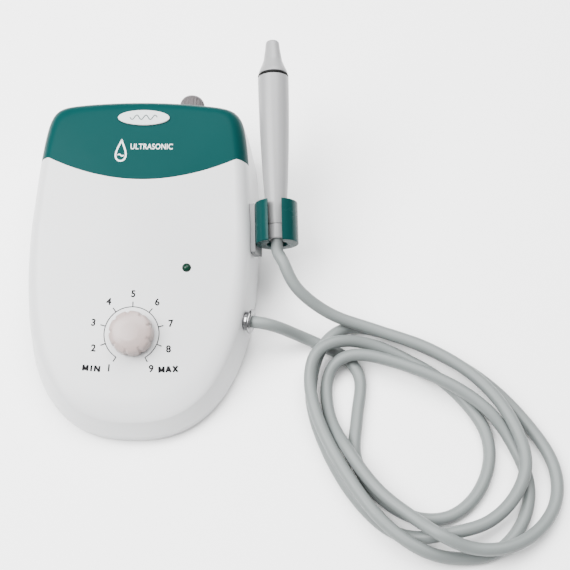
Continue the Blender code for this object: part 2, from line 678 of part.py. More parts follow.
def make_water_path():
    """Inlet, regulator with needle and knob, solenoid valve and the tubes between them."""
    knob = [(0.0, 0.0215), (0.0045, 0.0212), (0.0070, 0.0196), (0.0082, 0.0175), (0.0085, 0.0155),
            (0.0085, 0.0028), (0.0080, 0.0020), (0.0056, 0.0020), (0.0056, 0.0034), (0.0027, 0.0034),
            (0.0027, 0.0130), (0.0, 0.0130)]
    axis = rear(WATER_KNOB.x, WATER_KNOB.z)
    turned("water_knob", knob, DARK_GREY, axis, steps=24)
    spindle = [(0.0, 0.0127), (0.0023, 0.0127), (0.0023, -0.0160), (0.0, -0.0205)]
    turned("needle_spindle", spindle, BRASS, axis, steps=14)
    body = box("regulator_body", (0.018, 0.020, 0.018), axis @ Vector((0.0, 0.0, -0.0145)), BRASS)
    bush = cylinder("regulator_bush", 0.0040, -0.010, 0.0028, spot=axis, cutter=True)
    combine(body, bush, 'UNION')
    drill(body, 0.0027, axis.translation, (0, 1, 0), -0.0215, 0.006, sides=16)

    inlet = rear(WATER_INLET.x, WATER_INLET.z)
    barb = [(0.0, 0.0060), (0.0012, 0.0060), (0.0012, 0.0180), (0.0024, 0.0180), (0.0034, 0.0150),
            (0.0025, 0.0148), (0.0034, 0.0115), (0.0025, 0.0113), (0.0034, 0.0080), (0.0025, 0.0078),
            (0.0025, 0.0050), (0.0062, 0.0050), (0.0062, GAP), (0.0040, GAP), (0.0040, -0.0120),
            (0.0, -0.0120)]
    turned("water_inlet", barb, CHROME, inlet, steps=16)
    make_valve()
    make_water_tubes()


VALVE = Vector((0.0430, 0.0430, 0.0))
VALVE_TOP = 0.0190


def make_valve():
    """Solenoid valve: body, coil on top, and a plunger with its return spring inside the coil."""
    box("valve_body", (0.022, 0.026, VALVE_TOP - TRAY_FLOOR - GAP),
        (VALVE.x, VALVE.y, (VALVE_TOP + TRAY_FLOOR + GAP) / 2), BRASS, bevel=0.0008)
    low = VALVE_TOP + GAP
    spot = Matrix.Translation((VALVE.x, VALVE.y, 0.0))
    coil = [(0.0, low + 0.0240), (0.0095, low + 0.0240), (0.0100, low + 0.0235), (0.0100, low),
            (0.0044, low), (0.0044, low + 0.0215), (0.0, low + 0.0215)]
    turned("valve_coil", coil, BLACK, spot, steps=24)
    plunger = [(0.0, low + 0.0125), (0.0040, low + 0.0125), (0.0040, low + 0.0005),
               (0.0, low + 0.0005)]
    turned("valve_plunger", plunger, STEEL, spot, steps=20)
    turns = 4
    points = []
    start = low + 0.0125 + GAP + 0.0004
    height = 0.0215 - 0.0125 - 2 * GAP - 0.0008
    for i in range(turns * 8 + 1):
        angle = 2 * math.pi * i / 8
        points.append((VALVE.x + 0.0030 * math.cos(angle), VALVE.y + 0.0030 * math.sin(angle),
                       start + height * i / (turns * 8)))
    tube("valve_spring", points, 0.0004, STEEL, resolution=0)


def make_water_tubes():
    """Flexible tubes from the inlet to the valve, on to the regulator, and to the gland."""
    inlet_end = Vector((WATER_INLET.x, PANEL_OUTER_Y - 0.0120 - GAP, WATER_INLET.z))
    valve_rear = Vector((VALVE.x, VALVE.y + 0.013 + GAP, 0.0125))
    middle = (inlet_end + valve_rear) / 2 + Vector((0.001, 0.0, -0.001))
    tube("inlet_tube", smooth_path([inlet_end, inlet_end - Vector((0, 0.006, 0)), middle,
                                    valve_rear + Vector((0, 0.006, 0)), valve_rear], 10),
         0.0020, TUBE_CLEAR, resolution=1)
    valve_side = Vector((VALVE.x - 0.011 - GAP, VALVE.y + 0.006, 0.0145))
    regulator_low = Vector((WATER_KNOB.x + 0.004, PANEL_OUTER_Y - 0.0145,
                            WATER_KNOB.z - 0.009 - GAP))
    tube("valve_tube", smooth_path([valve_side, valve_side - Vector((0.003, 0.0, 0.0)),
                                    (0.0310, 0.0740, 0.0200),
                                    regulator_low - Vector((0.0, 0.0, 0.003)), regulator_low], 14),
         0.0020, TUBE_CLEAR, resolution=1)
    regulator_side = Vector((WATER_KNOB.x + 0.009 + GAP, PANEL_OUTER_Y - 0.0180, WATER_KNOB.z + 0.004))
    gland = gland_frame()
    gland_in = gland @ Vector((0.0, 0.0, -0.0140 - GAP))
    tube("lead_tube", smooth_path([regulator_side, regulator_side + Vector((0.003, 0.0, 0.0)),
                                   (0.0480, 0.0700, 0.0435), (0.0570, 0.0580, 0.0410),
                                   (0.0615, 0.0380, 0.0390),
                                   (0.0570, -0.0120, 0.0280),
                                   gland @ Vector((0.0, 0.0, -0.0185)), gland_in], 18),
         0.0020, TUBE_CLEAR, resolution=1)


# ---------------------------------------------------------------- gland and holder
def make_gland():
    """The bright gland in the right wall and its nut inside."""
    seat = gland_frame()
    gland = [(0.0, 0.0048), (0.0062, 0.0048), (0.0075, 0.0042), (0.0080, 0.0033), (0.0075, 0.0024),
             (0.0062, 0.0020), (0.0062, GAP), (0.0056, GAP), (0.0056, -0.0140), (0.0, -0.0140)]
    turned("lead_gland", gland, CHROME, seat, steps=28)
    nut = cylinder("gland_nut", 0.0084, -0.0088, -0.0052, BRASS, seat, sides=6)
    cut(nut, cylinder("gland_nut_bore", 0.0059, -0.010, -0.004, spot=seat, sides=20, cutter=True))


def on_axis(distance):
    """A point of the handpiece's axis at a distance from the tail's end."""
    return TAIL + AXIS * distance


def holder_screw_point():
    """Where the holder's screw crosses the casing's wall."""
    middle = on_axis(0.010)
    return Vector((0.0698, middle.y, middle.z))


def make_holder():
    """The C-shaped clip, the pad that carries it and the screw through wall, pad and clip."""
    seat = along(TAIL, AXIS, CLIP_LEAN)
    clip = cylinder("holder_clip", CLIP_RADIUS, CLIP_LOW, CLIP_HIGH, CLIP_GREEN, seat, sides=40)
    bore = cylinder("clip_bore", 0.0067, CLIP_LOW - 0.001, CLIP_HIGH + 0.001, spot=seat, tip=0.0087,
                    sides=28, cutter=True)
    slot = box("clip_slot", (CLIP_SLOT, 0.020, 0.040), seat @ Vector((0.0, 0.010, 0.012)),
               turn=seat.to_3x3().to_4x4(), cutter=True)
    cut(clip, bore, slot)
    drill(clip, 0.0015, holder_screw_point(), (1, 0, 0), 0.0, 0.0085, sides=10)

    middle = seat @ Vector((0.0, -0.0040, 0.0075))
    pad = box("holder_bracket", (0.018, 0.013, 0.033), Vector((0.0745, middle.y, middle.z)),
              WHITE, turn=along((0, 0, 0), AXIS).to_3x3().to_4x4())
    cut(pad, casing_solid("casing_clearance", inset=-GAP, floor=0.0, cutter=True),
        cylinder("clip_clearance", CLIP_RADIUS + GAP, -0.02, 0.05, spot=seat, sides=40, cutter=True),
        box("pad_right_side", (0.03, 0.08, 0.08), (0.0935, middle.y, middle.z), cutter=True))
    drill(pad, 0.0016, holder_screw_point(), (1, 0, 0), -0.01, 0.01, sides=10)
    screw = [(0.0, 0.0079), (0.0012, 0.0075), (0.0012, -0.0030), (0.0030, -0.0030),
             (0.0028, -0.0050), (0.0, -0.0052)]
    turned("holder_screw", screw, STEEL, along(holder_screw_point(), (1, 0, 0)), steps=12)


# ---------------------------------------------------------------- handpiece
def sleeve_radius(distance):
    """Outer radius of the handpiece's sleeve at a distance from the tail's end."""
    share = max(distance - COLLAR_LENGTH, 0.0) / (SEAL_START - COLLAR_LENGTH)
    return 0.0060 + 0.0043 * math.sin(share * math.pi / 2) ** 0.85


def make_handpiece():
    """Tail, sleeve, seal and nose, with the transducer inside them."""
    seat = along(TAIL, AXIS)
    tail = [(0.0050, 0.0180), (0.0050, COLLAR_LENGTH - GAP), (0.0058, COLLAR_LENGTH - GAP),
            (0.0058, 0.0006), (0.0052, 0.0), (0.0, 0.0)]
    turned("handpiece_tail", [(0.0, 0.0180), *tail], HAND_GREY, seat, steps=24)
    make_sleeve(seat)
    seal_end = SEAL_START + SEAL_LENGTH
    seal = [(0.0078, seal_end - GAP), (SEAL_RADIUS - 0.0004, seal_end - GAP),
            (SEAL_RADIUS, SEAL_START + SEAL_LENGTH / 2), (SEAL_RADIUS - 0.0004, SEAL_START + GAP),
            (0.0078, SEAL_START + GAP)]
    turned("handpiece_seal", seal, SEAL_BLACK, seat, steps=24, closed=True)
    end = HANDPIECE_LENGTH
    nose = [(0.0026, end), (0.0036, end), (0.0045, end - 0.0010), (0.0050, end - 0.0060),
            (0.0063, seal_end + 0.0100), (0.0076, seal_end + 0.0064), (0.0092, seal_end + 0.0028),
            (0.0098, seal_end + 0.0008), (0.0098, seal_end), (0.0075, seal_end),
            (0.0075, SEAL_START + GAP), (0.0062, SEAL_START + GAP), (0.0062, seal_end),
            (0.0026, end - 0.0070)]
    turned("handpiece_nose", nose, HAND_GREY, seat, steps=24, closed=True)
    horn = [(0.0, end - 0.0015), (0.0016, end - 0.0020), (0.0018, end - 0.0120),
            (0.0030, end - 0.0180), (0.0034, 0.0900), (0.0052, 0.0840), (0.0052, 0.0680),
            (0.0, 0.0680)]
    turned("transducer_horn", horn, ALUMINIUM, seat, steps=20)
    stack = [(0.0, 0.0680 - GAP), (0.0050, 0.0680 - GAP), (0.0050, 0.0560), (0.0, 0.0560)]
    turned("piezo_stack", stack, CERAMIC, seat, steps=20)
    back = [(0.0, 0.0560 - GAP), (0.0048, 0.0560 - GAP), (0.0048, 0.0380), (0.0020, 0.0360),
            (0.0, 0.0360)]
    turned("back_mass", back, STEEL, seat, steps=20)


def make_sleeve(seat):
    """The tapered sleeve, hollow from end to end."""
    stations = 7
    outer = []
    inner = []
    for i in range(stations + 1):
        distance = SEAL_START + (COLLAR_LENGTH - SEAL_START) * i / stations
        outer.append((sleeve_radius(distance), distance))
    for distance in (COLLAR_LENGTH, 0.030, 0.060, SEAL_START):
        wall = 0.0006 if distance == COLLAR_LENGTH else 0.0014
        inner.append((sleeve_radius(distance) - wall, distance))
    turned("handpiece_sleeve", outer + inner, HAND_GREY, seat, steps=24, closed=True)


# ---------------------------------------------------------------- hand lead
# Route points along the lead, in millimetres from the casing's mid-plane: out of the gland, four
# loose loops that cross over each other on the table, and up to the handpiece.
LEAD_ROUTE_MM = [
    (92, -42, 21), (101, -42, 13), (110, -43, 7), (121, -47, 4), (134, -54, 4), (143, -68, 4),
    (141, -96, 4), (140, -123, 4), (153, -146, 4), (174, -160, 4), (195, -160, 4),
    (212, -147, 4), (222, -124, 4), (220, -102, 4), (199, -73, 4), (175, -56, 4),
    (149, -47, 10), (127, -50, 18.5), (115, -58, 19.5), (111, -73, 14), (116, -99, 12),
    (134, -136, 12), (157, -167, 12), (180, -183, 11), (202, -185, 4.5), (222, -181, 4),
    (239, -163, 4), (245, -139, 4), (236, -111, 5.5), (223, -93, 10), (202, -77, 12),
    (166, -61, 12), (139, -56, 12.5), (127, -61, 10), (122, -72, 5), (124, -96, 5),
    (135, -121, 12), (154, -147, 12), (175, -165, 15), (189, -176, 20), (208, -182, 15),
    (229, -180, 12.5), (249, -167, 8), (261, -147, 4), (261, -125, 4), (246, -97, 4),
    (221, -69, 4), (187, -47, 4), (153, -34, 4), (136, -34, 7.5), (122, -46, 13),
    (114, -62, 9), (112, -83, 4), (121, -115, 4), (140, -149, 4), (161, -169, 4),
    (177, -173, 5), (191, -173, 12), (218, -165, 12), (236, -147, 12), (243, -126, 12.5),
    (235, -97, 12.5), (217, -72, 12.5), (187, -51, 12.5), (153, -38, 12.5), (123, -30, 19.5),
    (101, -18, 33), (91, 0, 41),
]


def make_lead():
    """The grey lead from the gland, round its loose loops on the table, to the handpiece's tail."""
    gland = gland_frame()
    start = gland @ Vector((0.0, 0.0, 0.0048 + GAP))
    leaving = gland @ Vector((0.0, 0.0, 0.0120))
    on_table = [Vector(point) * 0.001 for point in LEAD_ROUTE_MM]
    route = [start, leaving, *on_table, on_axis(-0.010), on_axis(-GAP)]
    path = smooth_path(route, LEAD_POINTS)
    for point in path:
        point.z = max(point.z, LEAD_RADIUS + 0.0001)
    tube("hand_lead", path, LEAD_RADIUS, LEAD_GREY)


make_shell_and_cover()
make_tray()
make_case_screws()
make_feet()
make_badge()
make_dial()
make_lamp()
make_board()
make_panel()
make_sockets()
make_switch()
make_water_path()
make_gland()
make_holder()
make_handpiece()
make_lead()
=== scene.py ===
"""The looks of the tabletop ultrasonic scaler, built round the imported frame. Metres, +Z up."""
import json
import math

import bmesh
import bpy
from mathutils import Matrix, Vector


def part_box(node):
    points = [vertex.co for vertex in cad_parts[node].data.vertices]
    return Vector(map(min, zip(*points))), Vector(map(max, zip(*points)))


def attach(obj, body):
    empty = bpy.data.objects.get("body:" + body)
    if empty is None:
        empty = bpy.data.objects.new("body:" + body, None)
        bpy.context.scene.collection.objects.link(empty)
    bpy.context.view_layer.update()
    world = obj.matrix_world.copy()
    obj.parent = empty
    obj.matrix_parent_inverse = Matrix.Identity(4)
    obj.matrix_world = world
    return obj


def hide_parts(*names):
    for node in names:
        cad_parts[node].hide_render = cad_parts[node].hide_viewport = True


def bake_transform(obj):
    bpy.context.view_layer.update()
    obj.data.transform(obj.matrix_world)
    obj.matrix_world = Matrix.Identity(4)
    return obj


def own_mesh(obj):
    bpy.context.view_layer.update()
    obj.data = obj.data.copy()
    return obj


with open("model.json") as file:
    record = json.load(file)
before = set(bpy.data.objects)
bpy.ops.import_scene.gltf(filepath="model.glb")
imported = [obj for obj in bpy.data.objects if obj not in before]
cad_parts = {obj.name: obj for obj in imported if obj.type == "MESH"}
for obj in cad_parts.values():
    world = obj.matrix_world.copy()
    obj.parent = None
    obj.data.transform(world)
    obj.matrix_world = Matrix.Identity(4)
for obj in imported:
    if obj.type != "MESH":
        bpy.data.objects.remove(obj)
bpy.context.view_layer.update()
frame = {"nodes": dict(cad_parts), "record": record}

# ---------------------------------------------------------------- driving dimensions, as in the CAD
CENTRE = Vector((0.0136, 0.0154, 0.0))
GAP = 0.0003
HALF_WIDTH = 0.0752
MIDDLE_Y = 0.010
FRONT_REACH = 0.1234
REAR_REACH = 0.0978
FRONT_POWER = 2.45
REAR_POWER = 15.0
REAR_TAPER = 0.095
TAPER_POWER = 2.4
REAR_LEAN = 0.015
REAR_BOW = 0.057
FACE_HEIGHT = 0.0499
FACE_SLOPE = 0.287
CROWN = 0.004
WALL_DRAFT = 0.048
WALL = 0.0025
TRAY_BOTTOM = 0.002
TRAY_FLOOR = 0.0045
TRAY_INSET = 0.0006
INNER_SIDES = 128
SPLIT_Z = 0.008
COVER_SKIRT = 0.012
COVER_EDGE_MIDDLE = 0.0445
COVER_EDGE_KINK = Vector((0.0617, 0.0600))
PANEL_HALF_WIDTH = 0.0474
PANEL_LOW = 0.0163
PANEL_HIGH = 0.0527
PANEL_OUTER_Y = 0.1020
PANEL_THICKNESS = 0.0025
PANEL_RIM = 0.0018
PANEL_RIM_DEPTH = 0.0080
CONNECTOR_Z = 0.034
SWITCH_X = -0.036
POWER_X = -0.013
FOOT_X = 0.007
WATER_KNOB = Vector((0.027, 0.0, 0.0460))
WATER_INLET = Vector((0.0405, 0.0, 0.0245))
DIAL_Y = -0.0562
KNOB_RADIUS = 0.0140
KNOB_HEIGHT = 0.0120
FLUTES = 9
LAMP = (0.0323, -0.0144)
BADGE_Y = 0.0836
BADGE_HALF_LENGTH = 0.0170
BADGE_HALF_WIDTH = 0.0054
GLAND_TURN = math.radians(-23.3)
GLAND_RISE = 0.55
TAIL = Vector((0.0886, 0.0114, 0.0420))
AXIS = Vector((-0.0424, 0.9554, 0.2924)).normalized()
HANDPIECE_LENGTH = 0.1385
COLLAR_LENGTH = 0.010
SEAL_START = 0.1120
SEAL_LENGTH = 0.0024
SEAL_RADIUS = 0.0104
CLIP_LOW = -0.003
CLIP_HIGH = 0.0245
CLIP_RADIUS = 0.014
CLIP_SLOT = 0.009
CLIP_LEAN = math.radians(-4.0)
LEAD_RADIUS = 0.0039
CASE_SCREWS = [(-0.044, -0.060), (0.044, -0.060), (-0.056, 0.072), (0.056, 0.072)]
FEET = [(-0.040, -0.075), (0.040, -0.075), (-0.052, 0.085), (0.052, 0.085)]

# Dial print on the face
PRINT_CENTRE = Vector((-0.0006, 0.0004))
RING_RADIUS = 0.0173
NUMBER_RADIUS = 0.0253
DIAL_SWEEP = math.radians(297.0)
RING_WIDTH = 0.00058
TICK_LENGTH = 0.0033
TICK_WIDTH = 0.00068
NUMBER_HEIGHT = 0.0044
WORD_HEIGHT = 0.0037
WORD_LETTER_WIDTH = 0.0028
WORD_WEIGHT = 0.00125
WORD_PITCH = 0.0043

# Route points along the lead, in millimetres from the casing's mid-plane, as in the CAD. They were
# resampled along a spline by a helper script, not chosen one by one by hand.
LEAD_ROUTE_MM = [
    (92, -42, 21), (101, -42, 13), (110, -43, 7), (121, -47, 4), (134, -54, 4), (143, -68, 4),
    (141, -96, 4), (140, -123, 4), (153, -146, 4), (174, -160, 4), (195, -160, 4),
    (212, -147, 4), (222, -124, 4), (220, -102, 4), (199, -73, 4), (175, -56, 4),
    (149, -47, 10), (127, -50, 18.5), (115, -58, 19.5), (111, -73, 14), (116, -99, 12),
    (134, -136, 12), (157, -167, 12), (180, -183, 11), (202, -185, 4.5), (222, -181, 4),
    (239, -163, 4), (245, -139, 4), (236, -111, 5.5), (223, -93, 10), (202, -77, 12),
    (166, -61, 12), (139, -56, 12.5), (127, -61, 10), (122, -72, 5), (124, -96, 5),
    (135, -121, 12), (154, -147, 12), (175, -165, 15), (189, -176, 20), (208, -182, 15),
    (229, -180, 12.5), (249, -167, 8), (261, -147, 4), (261, -125, 4), (246, -97, 4),
    (221, -69, 4), (187, -47, 4), (153, -34, 4), (136, -34, 7.5), (122, -46, 13),
    (114, -62, 9), (112, -83, 4), (121, -115, 4), (140, -149, 4), (161, -169, 4),
    (177, -173, 5), (191, -173, 12), (218, -165, 12), (236, -147, 12), (243, -126, 12.5),
    (235, -97, 12.5), (217, -72, 12.5), (187, -51, 12.5), (153, -38, 12.5), (123, -30, 19.5),
    (101, -18, 33), (91, 0, 41),
]


# ---------------------------------------------------------------- camera
def make_camera():
    """The camera at the photograph's viewing angle, with its slight roll."""
    azimuth = math.radians(3.627)
    elevation = math.radians(60.0)
    roll = math.radians(-2.477)
    distance = 0.742
    target = Vector((0.09424, -0.01535, 0.030)) - CENTRE
    back = Vector((math.sin(azimuth) * math.cos(elevation),
                   -math.cos(azimuth) * math.cos(elevation), math.sin(elevation)))
    level = Vector((math.cos(azimuth), math.sin(azimuth), 0.0))
    upward = level.cross(-back)
    right = level * math.cos(roll) + upward * math.sin(roll)
    up = upward * math.cos(roll) - level * math.sin(roll)
    data = bpy.data.cameras.new("camera")
    data.sensor_width = 36.0
    data.lens = 36.0 * 1150.0 / 570.0
    data.clip_start = 0.01
    camera = bpy.data.objects.new("camera", data)
    turn = Matrix((right, up, back)).transposed().to_4x4()
    camera.matrix_world = Matrix.Translation(target + back * distance) @ turn
    bpy.context.scene.collection.objects.link(camera)
    bpy.context.scene.camera = camera


# ---------------------------------------------------------------- lead
def catmull_rom(points, knots, at):
    """One point of a Catmull-Rom curve through four points at their knots."""
    level = list(points)
    for reach in (1, 2, 3):
        blended = []
        for i in range(len(level) - 1):
            low = knots[i] if reach < 3 else knots[1]
            high = knots[i + reach] if reach < 3 else knots[2]
            blended.append(level[i].lerp(level[i + 1], (at - low) / (high - low)))
        level = blended
    return level[0]


def smooth_path(route, spacing):
    """Evenly spaced points on a smooth curve through the route's points."""
    route = [Vector(point) for point in route]
    ends = [2 * route[0] - route[1], *route, 2 * route[-1] - route[-2]]
    fine = []
    for before, start, end, after in zip(ends, ends[1:], ends[2:], ends[3:]):
        knots = [0.0]
        for first, second in ((before, start), (start, end), (end, after)):
            knots.append(knots[-1] + math.sqrt((second - first).length))
        for step in range(24):
            at = knots[1] + (knots[2] - knots[1]) * step / 24
            fine.append(catmull_rom((before, start, end, after), knots, at))
    fine.append(route[-1])
    walked = [0.0]
    for first, second in zip(fine, fine[1:]):
        walked.append(walked[-1] + (second - first).length)
    count = round(walked[-1] / spacing)
    even = []
    segment = 0
    for step in range(count + 1):
        target = walked[-1] * step / count
        while segment < len(fine) - 2 and walked[segment + 1] < target:
            segment += 1
        share = (target - walked[segment]) / (walked[segment + 1] - walked[segment])
        even.append(fine[segment].lerp(fine[segment + 1], min(share, 1.0)))
    return even


def tube_mesh(name, path, radius, sides=20):
    """A round tube along a path, with closed ends."""
    shape = bmesh.new()
    side = None
    loops = []
    for i, point in enumerate(path):
        ahead = path[min(i + 1, len(path) - 1)] - path[max(i - 1, 0)]
        ahead.normalize()
        if side is None:
            side = ahead.orthogonal().normalized()
        side = (side - ahead * side.dot(ahead)).normalized()
        other = ahead.cross(side)
        ring = []
        for k in range(sides):
            angle = 2 * math.pi * k / sides
            offset = side * math.cos(angle) + other * math.sin(angle)
            ring.append(shape.verts.new(point + offset * radius))
        loops.append(ring)
    for lower, upper in zip(loops, loops[1:]):
        for k in range(sides):
            after = (k + 1) % sides
            shape.faces.new((lower[k], lower[after], upper[after], upper[k]))
    shape.faces.new(list(reversed(loops[0])))
    shape.faces.new(loops[-1])
    return finish_mesh(name, shape)


def make_lead():
    """The grey silicone lead, looped on the table between the gland and the handpiece."""
    gland = gland_frame()
    start = gland @ Vector((0.0, 0.0, 0.0042))
    leaving = gland @ Vector((0.0, 0.0, 0.0120))
    on_table = [Vector(point) * 0.001 for point in LEAD_ROUTE_MM]
    route = [start, leaving, *on_table, on_axis(-0.010), on_axis(0.0004)]
    path = smooth_path(route, 0.0028)
    for _ in range(3):
        eased = [(before + point * 2 + after) / 4
                 for before, point, after in zip(path, path[1:], path[2:])]
        path = [path[0], *eased, path[-1]]
    for point in path:
        point.z = max(point.z, LEAD_RADIUS + 0.00005)
    path = [point - CENTRE for point in path]
    lead = tube_mesh("lead_cover", path, LEAD_RADIUS)
    finish_with(lead, SILICONE)
    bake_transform(lead)
    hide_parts("hand_lead")


# ---------------------------------------------------------------- materials
def shader_material(name, colour, roughness, metallic=0.0, coat=0.0, grain=(900.0, 0.02),
                    drift=0.03, unevenness=0.06, specular=0.5):
    """A Principled material with fine grain, slow colour drift and uneven roughness.

    grain is (scale, bump strength); drift the share by which the colour wanders.
    """
    made = bpy.data.materials.new(name)
    made.use_nodes = True
    nodes = made.node_tree.nodes
    links = made.node_tree.links
    shader = nodes["Principled BSDF"]
    shader.inputs["Metallic"].default_value = metallic
    shader.inputs["Coat Weight"].default_value = coat
    shader.inputs["Coat Roughness"].default_value = 0.12
    shader.inputs["Specular IOR Level"].default_value = specular
    place = nodes.new("ShaderNodeTexCoord")

    slow = nodes.new("ShaderNodeTexNoise")
    slow.inputs["Scale"].default_value = 22.0
    slow.inputs["Detail"].default_value = 3.0
    links.new(place.outputs["Object"], slow.inputs["Vector"])
    tint = nodes.new("ShaderNodeMix")
    tint.data_type = 'RGBA'
    tint.inputs["A"].default_value = (*[c * (1.0 - drift) for c in colour], 1.0)
    tint.inputs["B"].default_value = (*[min(c * (1.0 + drift), 1.0) for c in colour], 1.0)
    links.new(slow.outputs["Fac"], tint.inputs["Factor"])
    links.new(tint.outputs["Result"], shader.inputs["Base Color"])

    wear = nodes.new("ShaderNodeTexNoise")
    wear.inputs["Scale"].default_value = 160.0
    wear.inputs["Detail"].default_value = 4.0
    links.new(place.outputs["Object"], wear.inputs["Vector"])
    spread = nodes.new("ShaderNodeMapRange")
    spread.inputs["To Min"].default_value = roughness - unevenness
    spread.inputs["To Max"].default_value = roughness + unevenness
    links.new(wear.outputs["Fac"], spread.inputs["Value"])
    links.new(spread.outputs["Result"], shader.inputs["Roughness"])

    fine = nodes.new("ShaderNodeTexNoise")
    fine.inputs["Scale"].default_value = grain[0]
    fine.inputs["Detail"].default_value = 2.0
    links.new(place.outputs["Object"], fine.inputs["Vector"])
    bump = nodes.new("ShaderNodeBump")
    bump.inputs["Strength"].default_value = grain[1]
    bump.inputs["Distance"].default_value = 0.0002
    links.new(fine.outputs["Fac"], bump.inputs["Height"])
    links.new(bump.outputs["Normal"], shader.inputs["Normal"])
    return made


WHITE = shader_material("white_plastic", (0.50, 0.505, 0.51), 0.30, coat=0.1, grain=(700.0, 0.03),
                        specular=0.3)
GREEN = shader_material("green_plastic", (0.0001, 0.029, 0.0285), 0.36, grain=(700.0, 0.04),
                        drift=0.06, specular=0.03)
CLIP_GREEN = shader_material("clip_green_plastic", (0.0006, 0.026, 0.025), 0.26, grain=(600.0, 0.05),
                             drift=0.06, specular=0.08)
PALE = shader_material("pale_plate", (0.46, 0.49, 0.49), 0.35, grain=(900.0, 0.02), specular=0.3)
# Painted shade: the holder pad is the casing's white plastic, coloured dark grey here to stand in for
# the clip's shade on it.
PAD_PAINTED_SHADE = shader_material("pad_plastic_painted_shade", (0.125, 0.128, 0.131), 0.32, grain=(700.0, 0.03), specular=0.3)
WHITE_INK = shader_material("white_ink", (0.60, 0.64, 0.64), 0.5, grain=(2500.0, 0.10), specular=0.2)
PRINT = shader_material("print_ink", (0.006, 0.006, 0.007), 0.6, grain=(2500.0, 0.15), drift=0.3,
                        specular=0.05)
RING_INK = shader_material("ring_ink", (0.020, 0.021, 0.022), 0.6, grain=(2500.0, 0.15), drift=0.3,
                           specular=0.05)
MARK = shader_material("mark_ink", (0.05, 0.065, 0.065), 0.5, grain=(2500.0, 0.15), drift=0.2,
                       specular=0.1)
KNOB = shader_material("knob_plastic", (0.290, 0.232, 0.218), 0.30, grain=(1400.0, 0.25),
                       specular=0.5)
DARK_GREY = shader_material("grey_plastic", (0.060, 0.052, 0.054), 0.42, grain=(1400.0, 0.3),
                            specular=0.3)
BLACK = shader_material("black_plastic", (0.009, 0.009, 0.0095), 0.42, grain=(1500.0, 0.3),
                        drift=0.2, specular=0.3)
RUBBER = shader_material("foot_rubber", (0.012, 0.012, 0.012), 0.75, grain=(900.0, 0.5), drift=0.25,
                         specular=0.3)
SEAL = shader_material("seal_rubber", (0.003, 0.003, 0.003), 0.55, grain=(1500.0, 0.4), drift=0.2,
                       specular=0.1)
LAMP_GREEN = shader_material("lamp_green", (0.0004, 0.017, 0.009), 0.10, grain=(500.0, 0.01),
                             specular=0.15)
SILICONE = shader_material("silicone_grey", (0.128, 0.142, 0.139), 0.42, grain=(1100.0, 0.22),
                           drift=0.04, specular=0.3)
HAND_GREY = shader_material("handpiece_plastic", (0.205, 0.206, 0.209), 0.33, coat=0.05,
                            grain=(1300.0, 0.12), specular=0.35)
CHROME = shader_material("chromed_brass", (0.24, 0.24, 0.245), 0.10, metallic=1.0,
                         grain=(600.0, 0.04), unevenness=0.04)
STEEL = shader_material("steel", (0.34, 0.34, 0.34), 0.30, metallic=1.0, grain=(1500.0, 0.25))
BRASS = shader_material("brass", (0.42, 0.28, 0.10), 0.28, metallic=1.0, grain=(1200.0, 0.2))
ALUMINIUM = shader_material("aluminium", (0.40, 0.40, 0.42), 0.34, metallic=1.0, grain=(1300.0, 0.2))
BOARD = shader_material("board_green", (0.006, 0.065, 0.025), 0.3, coat=0.2, grain=(400.0, 0.1))
COPPER = shader_material("copper_winding", (0.32, 0.12, 0.05), 0.3, metallic=0.8, grain=(800.0, 0.5))
CERAMIC = shader_material("piezo_ceramic", (0.27, 0.24, 0.19), 0.55, grain=(1200.0, 0.3))
CLEAR_TUBE = shader_material("water_tube", (0.34, 0.38, 0.39), 0.25, coat=0.2, grain=(900.0, 0.05))

SLOT_FINISHES = {
    "white_plastic": WHITE, "green_plastic": GREEN, "clip_green_plastic": CLIP_GREEN,
    "pale_print": PALE, "knob_plastic": KNOB, "grey_plastic": DARK_GREY, "black_plastic": BLACK,
    "foot_rubber": RUBBER, "lamp_green": LAMP_GREEN, "silicone_grey": SILICONE,
    "handpiece_plastic": HAND_GREY, "seal_rubber": SEAL, "chromed_brass": CHROME, "brass": BRASS,
    "steel": STEEL, "aluminium": ALUMINIUM, "board_green": BOARD, "copper_winding": COPPER,
    "piezo_ceramic": CERAMIC, "water_tube": CLEAR_TUBE,
}


def dress_frame():
    """Gives every CAD node that stays in view its finish."""
    for subpart in frame["record"]["subparts"]:
        node = frame["nodes"][subpart["node"]]
        node.data.materials.clear()
        node.data.materials.append(SLOT_FINISHES[subpart["material_slot"]])


# ---------------------------------------------------------------- shape helpers
def finish_mesh(name, shape, angle=35.0):
    """An object in the scene made from a bmesh, smooth with creases at hard edges."""
    mesh = bpy.data.meshes.new(name)
    shape.to_mesh(mesh)
    shape.free()
    mesh.shade_smooth()
    mesh.set_sharp_from_angle(angle=math.radians(angle))
    made = bpy.data.objects.new(name, mesh)
    bpy.context.scene.collection.objects.link(made)
    return made


def finish_with(obj, finish):
    """Gives a piece its material."""
    obj.data.materials.clear()
    obj.data.materials.append(finish)
    return obj


def add_piece(obj, finish, body="unit", node=None):
    """Moves a piece from the casing's mid-plane to the row frame and hangs it on its body."""
    obj.data.transform(Matrix.Translation(-CENTRE) @ obj.matrix_world)
    obj.matrix_world = Matrix.Identity(4)
    finish_with(obj, finish)
    if node:
        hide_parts(node)
    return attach(obj, body)


def along(point, direction, lean=0.0):
    """A frame at a point whose Z runs along a direction, with Y as near world up as can be."""
    z_axis = Vector(direction).normalized()
    side = Vector((0.0, 0.0, 1.0)).cross(z_axis)
    if side.length < 1e-6:
        side = Vector((1.0, 0.0, 0.0))
    side.normalize()
    up = z_axis.cross(side)
    turn = Matrix((side, up, z_axis)).transposed().to_4x4()
    return Matrix.Translation(point) @ turn @ Matrix.Rotation(lean, 4, 'Z')


